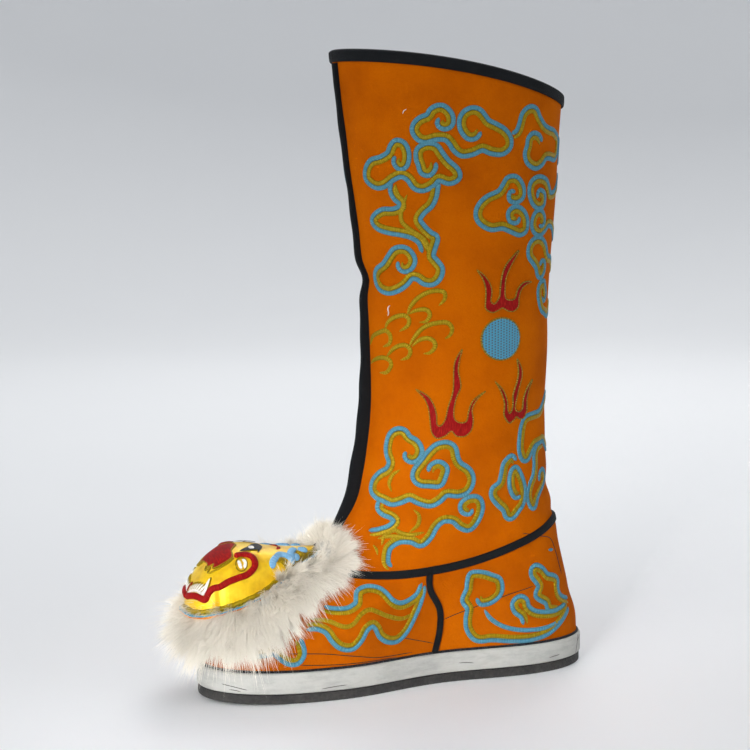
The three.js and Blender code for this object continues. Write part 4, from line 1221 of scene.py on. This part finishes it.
# Columns: place along the head, rim height, dome, underside, half width.
HEAD_ROWS = np.array(
    [
        (0.0, 0.83, 0.11, 0.1, 0.05),
        (0.1, 0.8, 0.19, 0.13, 0.15),
        (0.2, 0.765, 0.29, 0.16, 0.27),
        (0.34, 0.7, 0.5, 0.2, 0.4),
        (0.5, 0.605, 0.84, 0.27, 0.485),
        (0.66, 0.54, 0.98, 0.34, 0.5),
        (0.8, 0.49, 0.9, 0.36, 0.44),
        (0.91, 0.455, 0.69, 0.28, 0.335),
        (0.975, 0.44, 0.43, 0.16, 0.21),
        (1.0, 0.445, 0.16, 0.06, 0.09),
    ]
)
SNOUT = len(HEAD_ROWS) - 1  # last place along the head
HEAD_UP = 110
HEAD_AROUND = 120
PUCKERS = 34  # along the head's rim
PUCKER_DEPTH = 0.55
PUCKER_REACH = 13.0  # degrees up from the rim
UNDERSIDE_TUCK = 0.4
NECK_FADE = 2.0  # places over which the puckers and hollows fade in
SNOUT_FADE = 0.7
# Hollows of the satin: place and turn of the middle, half size in place and turn, depth in millimetres.
HOLLOWS = [
    (6.15, 14, 0.22, 14, 0.8),
    (6.05, 41, 0.35, 6, 0.45),
    (5.6, 24, 1.3, 5, 0.5),
    (4.1, 34, 0.3, 14, 0.4),
    (3.7, 48, 0.5, 9, 0.35),
    (7.6, 90, 0.5, 16, 0.5),
    (4.45, 90, 0.35, 12, 0.4),
]


def whole(value):
    """Power that makes the head's sections fuller than an ellipse."""
    return np.sign(value) * np.abs(value) ** HEAD_SQUARENESS


def on_head(place, turn, outwards=0.0):
    """Point of the head: place from its neck, 0, to its snout, 9; turn from its inner rim, 0, over its top,
    90 degrees, to its outer rim, 180."""
    place, turn = np.broadcast_arrays(np.asarray(place, float), np.asarray(turn, float))
    row = through_rows(HEAD_ROWS, place)
    angle = np.radians(turn)
    above = np.sin(angle) > 0
    folded = np.abs(np.where(turn > 90, 180 - turn, turn))
    gathers = np.cos(place * PUCKERS / SNOUT * 2 * math.pi) ** 2
    soft = -PUCKER_DEPTH * np.exp(-((folded / PUCKER_REACH) ** 2)) * gathers
    for middle, rise, length, breadth, depth in HOLLOWS:
        soft = soft - depth * np.exp(-(((place - middle) / length) ** 2) - ((folded - rise) / breadth) ** 2)
    even_ends = np.clip(place / NECK_FADE, 0, 1) * np.clip((SNOUT - place) / SNOUT_FADE, 0, 1)
    soft = np.where(above, soft, -UNDERSIDE_TUCK) * even_ends + outwards
    x = UPPER_LENGTH - ORIGIN_FROM_HEEL + SNOUT_OVERHANG - (1 - row[..., 0]) * HEAD_LENGTH
    rim = UPPER_BASE + row[..., 1] * INSTEP_HEIGHT
    lift = np.where(above, row[..., 2], row[..., 3]) * HEAD_HEIGHT
    y = whole(np.cos(angle)) * (row[..., 4] * HEAD_WIDTH + soft)
    return on_last(np.stack([x, y, rim + whole(np.sin(angle)) * (lift + soft)], -1))


def seat_on_head(place, turn):
    """Points on the satin with their outward directions."""
    ahead = on_head(np.minimum(place + STEP, SNOUT), turn) - on_head(np.maximum(place - STEP, 0), turn)
    over = on_head(place, turn + 1) - on_head(place, turn - 1)
    return on_head(place, turn), unit(np.cross(over, ahead))


head_places = SNOUT * np.linspace(0, 1, HEAD_UP) ** 0.9
head_turns = np.arange(HEAD_AROUND) / HEAD_AROUND * 360
head_places, head_turns = np.meshgrid(head_places, head_turns, indexing="ij")
head_faces = grid_faces(HEAD_UP, HEAD_AROUND, looped_columns=True).tolist()
head_faces.append(list(reversed(range(HEAD_AROUND))))
head_faces.append([(HEAD_UP - 1) * HEAD_AROUND + j for j in range(HEAD_AROUND)])
head_uv = np.stack([head_places * HEAD_LENGTH / SNOUT, head_turns / 2], -1)
head = mesh_piece("satin_head", on_head(head_places, head_turns), head_faces, head_uv)


def satin_group():
    """Node group: lengthwise threads of satin, its cloudy tone, and the relief of both."""
    inputs = {"Surface": "Vector", "Place": "Vector"}
    outputs = {"Threads": "Float", "Clouds": "Float", "Normal": "Vector"}
    tree, given, result = new_group("satin_cloth", inputs, outputs)
    fine = noise(tree, stretched(tree, given["Surface"], (0.35, 5.0, 1.0)), 1.0, 3.0, 0.6)
    clouds = noise(tree, given["Place"], 90.0, 3.0, 0.5)
    wrinkled = bump(tree, clouds, 0.0012, 0.25)
    feed(result, Threads=fine, Clouds=clouds, Normal=bump(tree, fine, 0.0003, 0.4, wrinkled))
    return tree


satin_cloth = satin_group()


def make_satin(name, colour, shade, highlight, metallic):
    """Smooth satin: a bright sheen that follows its fine lengthwise threads."""
    settings = {"Metallic": metallic, "Specular_IOR_Level": 0.4, "Anisotropic": 0.4}
    material, tree, shader = new_material(name, **settings)
    cloth = use_group(tree, satin_cloth, Surface=own_uv(tree), Place=object_place(tree))
    cloudy = ramp(tree, cloth["Clouds"], [(0.3, shade), (0.5, colour), (0.75, highlight)])
    shaded = math_node(tree, "MULTIPLY", cloth["Threads"], 0.3)
    feed(
        shader,
        Base_Color=mix_colours(tree, shaded, cloudy, shade),
        Roughness=math_node(tree, "MULTIPLY_ADD", cloth["Threads"], 0.16, 0.24),
        Normal=cloth["Normal"],
    )
    return material


yellow_satin = make_satin("yellow_satin", (0.86, 0.55, 0.006), (0.62, 0.34, 0.002), (0.95, 0.7, 0.03), 0.3)
fit_piece(head, yellow_satin, "satin", "tiger_head")

FACE_SCALE = (10.0, 0.5)  # millimetres to a place and to a degree, roughly
LIP = [
    (8.6, 90), (8.43, 76), (8.2, 60), (7.87, 45), (7.47, 30), (7.07, 20), (6.8, 28), (6.53, 31), (6.13, 28),
    (5.67, 28.8), (5.13, 28), (4.73, 28), (4.4, 33.8), (4.3, 41), (4.33, 50), (4.53, 57.5), (4.87, 60.6),
    (5.13, 62.5),
]
NOSE = [
    (6.32, 90), (6.35, 83), (6.42, 76), (6.12, 71), (6.25, 65), (6.0, 60.5), (5.5, 59.5), (5.24, 62),
    (5.15, 69), (5.1, 76), (4.92, 82), (4.7, 88), (4.72, 90),
]
NOSE_CURL = [(6.42, 83), (6.6, 76), (6.35, 71), (6.55, 66), (6.4, 60), (6.0, 56.5), (5.5, 56), (5.15, 60)]
EYE = [
    (4.83, 67), (4.7, 70), (4.5, 73), (4.3, 76), (4.2, 79), (4.05, 83), (3.8, 87), (3.68, 88), (3.62, 84),
    (3.6, 76), (3.7, 70), (3.85, 64), (4.0, 58.5), (3.95, 66), (4.4, 66),
]
PUPIL = [(4.3, 68.5), (4.12, 68), (4.04, 72), (4.08, 76), (4.22, 77), (4.34, 73)]
SPOT_MIDDLE = (4.93, 45)
SPOT_HALF = (0.27, 10.5)
SPOT_STRIPES = [[(4.82, 52.5), (4.72, 46), (4.82, 37.5)], [(5.02, 53), (5.0, 46), (4.98, 38)]]
TUSK = [(7.12, 28), (6.95, 36), (6.75, 44), (6.55, 51)]
TUSK_EDGE = [(6.98, 27), (6.8, 36), (6.62, 44), (6.48, 51.5)]
TEETH = 9
TOOTH_ENDS = ((8.36, 86), (7.36, 33))  # of the row of teeth, behind the lip
TOOTH_LENGTH = 0.62
TOOTH_LEAN = 4.0  # degrees that a tooth's tip leans over
TOOTH_EDGE = (0.03, 5.0)  # place and degrees from a tooth to its gold edge
CHEEK_BLUE = [
    [(3.53, 25), (3.4, 37.5), (3.2, 45), (2.9, 52.5), (2.6, 46), (2.47, 37.5), (2.33, 25), (2.27, 10)],
    [(2.27, 30), (2.27, 43.8), (2.2, 56), (1.93, 65), (1.7, 70)],
    [(2.0, 12), (1.95, 30), (1.85, 40)],
    [(1.6, 64), (1.27, 57), (0.8, 37.5)],
]
CHEEK_GOLD = [
    [(3.12, 33), (3.03, 38.5), (2.86, 30), (2.74, 20), (2.6, 6)],
    [(1.73, 58), (1.73, 47.5), (1.47, 27.5), (1.0, 12.5)],
]
BROW = [(2.85, 75), (2.66, 83), (2.6, 90)]
MUZZLE = [(8.5, 90), (8.1, 90), (7.45, 90)]


def over_top(line, side):
    """The line on the head's inner half, or its mirror image on the outer half."""
    return [(place, turn if side > 0 else 180 - turn) for place, turn in line]


def sewn(line, width, rise, side, **shape):
    """A band or cord on the satin."""
    shape = {"step": 0.7, **shape}
    return stitched(over_top(line, side), seat_on_head, width, rise=rise, scale=FACE_SCALE, **shape)


sky_thread = make_thread(
    "sky_thread", (0.17, 0.38, 0.6), (0.1, 0.26, 0.45), (0.36, 0.56, 0.76), 2.2, 0.0, 0.42
)
FACE_THREADS = {
    "red": (red_thread, "red_satin"),
    "blue": (sky_thread, "blue_satin"),
    "gold": (gold_thread, "gold_braid"),
    "white": (white_thread, "head_trim"),
    "black": (dark_thread, "head_trim"),
}
face = {tone: [] for tone in FACE_THREADS}
for side in (1, -1):
    face["red"].append(sewn(LIP, 4.2, 2.0, side, taper=0.5, step=1.1))
    face["red"].append(sewn(BROW, 2.6, 0.8, side, taper=2.0))
    face["black"].append(patch(over_top(EYE, side), seat_on_head, 0.75, FACE_SCALE))
    face["white"].append(patch(over_top(PUPIL, side), seat_on_head, 0.95, FACE_SCALE))
    face["gold"].append(sewn(bordered(oval(SPOT_MIDDLE, SPOT_HALF, 15)), 0.9, 0.9, side))
    face["white"].extend(sewn(stripe, 2.2, 0.8, side) for stripe in SPOT_STRIPES)
    face["gold"].append(sewn(NOSE_CURL, 1.2, 0.9, side))
    face["gold"].append(sewn(NOSE, 0.9, 1.0, side))
    face["white"].append(sewn(TUSK, 3.0, 1.2, side, taper=2.2))
    face["gold"].append(sewn(TUSK_EDGE, 0.9, 1.2, side))
    for place, turn in np.linspace(*TOOTH_ENDS, TEETH):
        tooth = [(place - share * TOOTH_LENGTH, turn + share * TOOTH_LEAN) for share in (0, 0.5, 1)]
        face["white"].append(sewn(tooth, 2.4, 1.0, side, taper=1.2))
        edge = [(p - TOOTH_EDGE[0], t + TOOTH_EDGE[1]) for p, t in tooth]
        face["gold"].append(sewn(edge, 0.7, 1.0, side))
    face["blue"].extend(sewn(line, 4.6, 1.7, side, taper=0.7) for line in CHEEK_BLUE)
    face["gold"].extend(sewn(line, 3.8, 1.5, side, taper=1.0) for line in CHEEK_GOLD)
face["red"].append(sewn(MUZZLE, 4.0, 1.2, 1, taper=1.5))
nose_outline = NOSE + over_top(NOSE[-2:0:-1], -1)
face["red"].append(patch(nose_outline, seat_on_head, 0.8, FACE_SCALE))
for tone, parts in face.items():
    fit_piece(joined(f"face_{tone}", parts), *FACE_THREADS[tone])


# Rim of the head: a twisted gold braid covers its seam, and under it a blue and an orange frill of satin,
# pinked into waves, stand out over the fur.
RIM_STEPS = 300
BRAID_RADIUS = 1.7
BRAID_TWIST = 0.75  # turns of the strands to a centimetre
BRAID_OUT = 0.5
BRAID_UP = 1.2
STRAND_DEPTH = 0.22
# Columns: how far in and out the frill reaches, how far it drops at its edge, its thickness, its rise.
FRILLS = {
    "blue": (-3.0, 5.6, 3.4, 0.9, -0.4),
    "orange": (-3.0, 7.2, 5.4, 0.9, -1.4),
}
RIM_WAVE = 13.0  # millimetres from one scallop of a frill to the next
WAVE_REACH = 1.1
WAVE_RISE = 0.9
rim_side = np.linspace(0, SNOUT, RIM_STEPS // 2)
rim_line = np.concatenate([rim_side, rim_side[-2:0:-1]])
rim_turns = np.where(np.arange(len(rim_line)) < RIM_STEPS // 2, 0.0, 180.0)
rim_points = on_head(rim_line, rim_turns)
for _ in range(3):
    rim_points = (np.roll(rim_points, 1, 0) + 2 * rim_points + np.roll(rim_points, -1, 0)) / 4
closed = np.concatenate([rim_points, rim_points[:1]])
rim_run = lengths_along(closed)
even = np.linspace(0, rim_run[-1], 2 * RIM_STEPS, endpoint=False)
rim_points = np.stack([np.interp(even, rim_run, closed[:, axis]) for axis in range(3)], -1)
rim_up = np.broadcast_to([0.0, 0.0, 1.0], rim_points.shape)
rim_away = unit(np.cross(directions(rim_points, True), rim_up))

corners = round_turn(12)
twist = even * BRAID_TWIST / 10 * 2 * math.pi
strands = 1 + STRAND_DEPTH * np.abs(np.cos(corners[None] - twist[:, None]))
braid_section = BRAID_RADIUS * strands[..., None] * np.stack([-np.cos(corners), np.sin(corners)], -1)[None]
braid_points = rim_points + rim_away * BRAID_OUT + rim_up * BRAID_UP
braid = mesh_piece("rim_braid", *swept(braid_points, rim_up, braid_section, looped=True))
fit_piece(braid, gold_thread, "gold_braid")

orange_satin = make_satin("orange_satin", (0.75, 0.24, 0.005), (0.5, 0.12, 0.002), (0.85, 0.35, 0.02), 0.1)
blue_satin = make_satin("blue_satin", (0.08, 0.32, 0.5), (0.05, 0.2, 0.34), (0.2, 0.5, 0.66), 0.1)
for number, (tone, (inner, outer, drop, thick, lift)) in enumerate(FRILLS.items()):
    waves = np.sin(even / RIM_WAVE * 2 * math.pi + 1.3 * number)
    reach = outer + WAVE_REACH * waves
    across = np.stack([np.full_like(reach, inner), (inner + reach) / 2, reach], 1)
    height = lift + np.stack([0 * waves, WAVE_RISE / 3 * waves - 0.25 * drop, WAVE_RISE * waves - drop], 1)
    across = np.concatenate([across, across[:, ::-1]], 1)[..., None]
    height = np.concatenate([height, height[:, ::-1] - thick], 1)[..., None]
    ring = rim_points[:, None] + rim_away[:, None] * across + rim_up[:, None] * height
    frill_uv = np.stack(np.broadcast_arrays(even[:, None], np.arange(6.0)[None] * 3), -1)
    frill_faces = grid_faces(len(ring), 6, looped_rows=True, looped_columns=True)
    frill = mesh_piece(f"{tone}_frill", ring, frill_faces, frill_uv)
    satin = blue_satin if tone == "blue" else orange_satin
    nodes = ["head_rim"] if tone == "blue" else []
    fit_piece(frill, satin, "rim_braid", *nodes)


# Fur trim: a strip of long white fur sewn round the head, from the toe to the front of the ankle. The
# hairs grow out of a dense underfur, lie in soft clumps, and hang away from the head under their weight.
FUR_WIDTH = 28.0
FUR_DEPTH = 12.0
HAIRS = 94000
CLUMPS = 950
HAIR_LENGTH = 19.0
ROOTS_ACROSS = (-1.3, -0.05)  # half widths from the strip's middle, most of them on the head's side
STRAYS = 0.1  # share of the hairs that are longer and stand out of their clumps
HAIR_WIDTH = 0.3
HAIR_TAPER = np.array([1.0, 0.95, 0.7])  # of its width, from its root up to the point before its tip
HAIR_POINTS = 4
HAIR_FLOOR = 1.2  # millimetres above the floor that no hair goes below
LEAN_ACROSS = 52  # degrees that the lean grows by over a half width of the strip
LENGTH_RANGE = (0.6, 1.2)
DROOP_RANGE = (0.05, 0.42)  # of its length that a clump's tip hangs down
PULL_RANGE = (0.3, 0.9)  # how far a hair's tip is drawn to the tip of its clump
CLUMP_SCATTER = 0.4
CLUMP_SHARE = 0.45  # of a hair's direction that it takes from its clump
HAIR_SCATTER = 0.13
HAIR_DROOP = (0.7, 1.3)  # of its clump's droop
RIBBON_SCATTER = 0.3
BATCH = 4000  # hairs whose distances to all clumps are worked out at a time
HAIR_CURL = 0.09
STRAY_LENGTH = 1.3
STRAY_PULL = 0.25
UNDERFUR_DEPTH = 0.55  # of FUR_DEPTH
UNDERFUR_LUMPS = 0.12
# Middle line of the strip on the inner side: turn in degrees, rise as a share of the instep's height,
# width as a share of FUR_WIDTH, length of the hair as a share of HAIR_LENGTH, how far the roots lie
# towards the head in half widths, and how far the hair leans away from it, in degrees.
FUR_ROWS = [
    (0, 0.27, 1.0, 1.3, 0.0, 34),
    (28, 0.3, 1.0, 1.15, 0.0, 44),
    (43, 0.4, 1.0, 1.05, 0.2, 54),
    (52, 0.54, 1.0, 0.9, 0.7, 50),
    (45, 0.7, 0.85, 0.85, 0.35, 64),
    (25, 0.82, 0.6, 0.8, -0.35, 72),
    (0, 0.86, 0.5, 0.85, -0.5, 56),
]
FAR_LENGTH = 1.12  # the hair on the outer side is this much longer and stands up straighter
FAR_LEAN = -16
far_rows = [
    (-turn, rise, width, FAR_LENGTH * length, shift, lean + FAR_LEAN)
    for turn, rise, width, length, shift, lean in reversed(FUR_ROWS[1:-1])
]
FUR_LOOP = np.array([*FUR_ROWS, *far_rows, FUR_ROWS[0]], float)


def fur_seat(place):
    """Middle of the strip, with its outward direction, width, and the length, shift and lean of its hair."""
    row = through_rows(FUR_LOOP, place)
    point, out = seat_on_upper(row[..., 0], UPPER_BASE + row[..., 1] * INSTEP_HEIGHT)
    return point, out, row[..., 2] * FUR_WIDTH, row[..., 3] * HAIR_LENGTH, row[..., 4], row[..., 5]


draw = np.random.default_rng(11)
FUR_STEPS = 400
loop_places = np.linspace(0, len(FUR_LOOP) - 1, FUR_STEPS, endpoint=False)
loop_points, loop_out, loop_width, loop_length, loop_shift, loop_lean = fur_seat(loop_places)
loop_away = unit(np.cross(directions(loop_points, True), loop_out))
corners = round_turn(14)
lumps = 1 + UNDERFUR_LUMPS * draw.standard_normal((FUR_STEPS, len(corners)))
underfur_section = np.stack(
    [
        (-np.cos(corners)[None] * lumps / 3 + 1 / 3 + loop_shift[:, None] / 2) * loop_width[:, None],
        np.sin(corners)[None] * FUR_DEPTH * UNDERFUR_DEPTH * lumps,
    ],
    -1,
)
underfur = mesh_piece("underfur", *swept(loop_points, loop_out, underfur_section, looped=True))


def hair_starts(count):
    """Roots, directions, lengths, places along the strip and outward directions of scattered hairs."""
    along = draw.uniform(0, FUR_STEPS, count)
    across = draw.uniform(*ROOTS_ACROSS, count)
    at = along.astype(int) % FUR_STEPS
    share = (along - along.astype(int))[:, None]
    after = (at + 1) % FUR_STEPS

    def between(values):
        return values[at] * (1 - share) + values[after] * share

    point, out, away = between(loop_points), between(loop_out), between(loop_away)
    half = loop_width[at][:, None] / 2
    domed = np.sqrt(np.clip(1 - across**2, 0, 1))[:, None] * FUR_DEPTH * UNDERFUR_DEPTH * 0.7
    across = across - np.mean(ROOTS_ACROSS)
    inwards = (loop_shift[at] - np.mean(ROOTS_ACROSS))[:, None]
    root = point + away * (across[:, None] - inwards) * half + out * domed
    lean = np.radians(loop_lean[at] + LEAN_ACROSS * across)[:, None]
    heading = out * np.cos(lean) + away * np.sin(lean)
    length = loop_length[at] * (0.92 + 0.14 * across)
    return root, heading, length, along, out


clump_root, clump_heading, clump_length, _, _ = hair_starts(CLUMPS)
clump_heading = unit(clump_heading + CLUMP_SCATTER * draw.standard_normal((CLUMPS, 3)))
clump_droop = draw.uniform(*DROOP_RANGE, CLUMPS)
root, heading, length, along_strip, hair_out = hair_starts(HAIRS)
nearest = np.empty(HAIRS, dtype=int)
for start in range(0, HAIRS, BATCH):
    part = slice(start, start + BATCH)
    apart = root[part, None] - clump_root[None]
    nearest[part] = (apart**2).sum(-1).argmin(1)
scatter = HAIR_SCATTER * draw.standard_normal((HAIRS, 3))
heading = unit(heading * (1 - CLUMP_SHARE) + clump_heading[nearest] * CLUMP_SHARE + scatter)
length = length * draw.uniform(*LENGTH_RANGE, HAIRS)
droop = clump_droop[nearest] * draw.uniform(*HAIR_DROOP, HAIRS)
pull = draw.uniform(*PULL_RANGE, HAIRS)[:, None]
stray = draw.uniform(0, 1, HAIRS) < STRAYS
length = np.where(stray, STRAY_LENGTH * length, length)
pull[stray] *= STRAY_PULL
curl = HAIR_CURL * draw.standard_normal((HAIRS, 3))
levels = np.linspace(0, 1, HAIR_POINTS)
hair = np.empty((HAIRS, HAIR_POINTS, 3))
for number, share in enumerate(levels):
    straight = root + heading * (length * share)[:, None]
    straight[:, 2] -= length * droop * share**2
    gathered = (clump_root + clump_heading * (clump_length * share)[:, None])[nearest]
    gathered[:, 2] -= (clump_length * clump_droop)[nearest] * share**2
    straight += curl * (length * share**2)[:, None] + (gathered - straight) * pull * share**1.5
    hair[:, number] = straight
hair[..., 2] = np.maximum(hair[..., 2], HAIR_FLOOR)
along_hair = unit(hair[:, -1] - hair[:, 0])
scatter = RIBBON_SCATTER * draw.standard_normal((HAIRS, 3))
sideways = unit(np.cross(along_hair, hair_out + scatter))
half_widths = sideways[:, None] * (HAIR_WIDTH / 2 * HAIR_TAPER)[:, None]
ribbon = np.concatenate([hair[:, :-1] + half_widths, hair[:, :-1] - half_widths, hair[:, -1:]], 1)
PER_HAIR = ribbon.shape[1]
hair_uv = np.empty((HAIRS, PER_HAIR, 2))
hair_uv[..., 0] = draw.uniform(0, 1, HAIRS)[:, None]
hair_uv[..., 1] = np.concatenate([levels[:-1], levels[:-1], levels[-1:]])[None]


def make_fur_hair():
    """White hair: darker and creamier towards its roots, which is painted shade deep in the fur, a little
    different from hair to hair, softly glossy.
    """
    material, tree, shader = new_material("white_fur", Roughness=0.6, Specular_IOR_Level=0.25)
    hair_tone, height = add_node(tree, "ShaderNodeSeparateXYZ", {"Vector": own_uv(tree)}).outputs[:2]
    # Painted shade: the ramp along each hair darkens it from its light tip down to its root, where the fur
    # shades itself.
    stops = [(0.0, (0.7, 0.63, 0.5)), (0.4, (0.85, 0.79, 0.68)), (1.0, (0.92, 0.88, 0.79))]
    lengthwise = ramp(tree, height, stops)
    creamy = math_node(tree, "MULTIPLY", hair_tone, 0.22)
    feed(shader, Base_Color=mix_colours(tree, creamy, lengthwise, (0.74, 0.67, 0.54)))
    return material


white_fur = make_fur_hair()
underfur_wool = make_mottled(
    "underfur_wool", 0.9, (0.62, 0.58, 0.5), (0.88, 0.85, 0.78), (500.0, 5.0, 0.7), 0.002
)
fit_piece(underfur, underfur_wool, "fur", "fur_trim")

FUR_PIECES = ("inner", "ankle", "outer")
third = np.floor(along_strip / FUR_STEPS * len(FUR_PIECES)).astype(int) % len(FUR_PIECES)
for number, word in enumerate(FUR_PIECES):
    chosen = np.flatnonzero(third == number)
    base = (np.arange(len(chosen)) * PER_HAIR)[:, None]
    quads = np.concatenate([base + np.array([[0, 1, 4, 3]]), base + np.array([[1, 2, 5, 4]])])
    tips = base + np.array([[2, 6, 5]])
    faces = quads.tolist() + tips.tolist()
    hairs = mesh_piece(f"fur_hairs_{word}", ribbon[chosen], faces, hair_uv[chosen])
    fit_piece(hairs, white_fur, "fur")
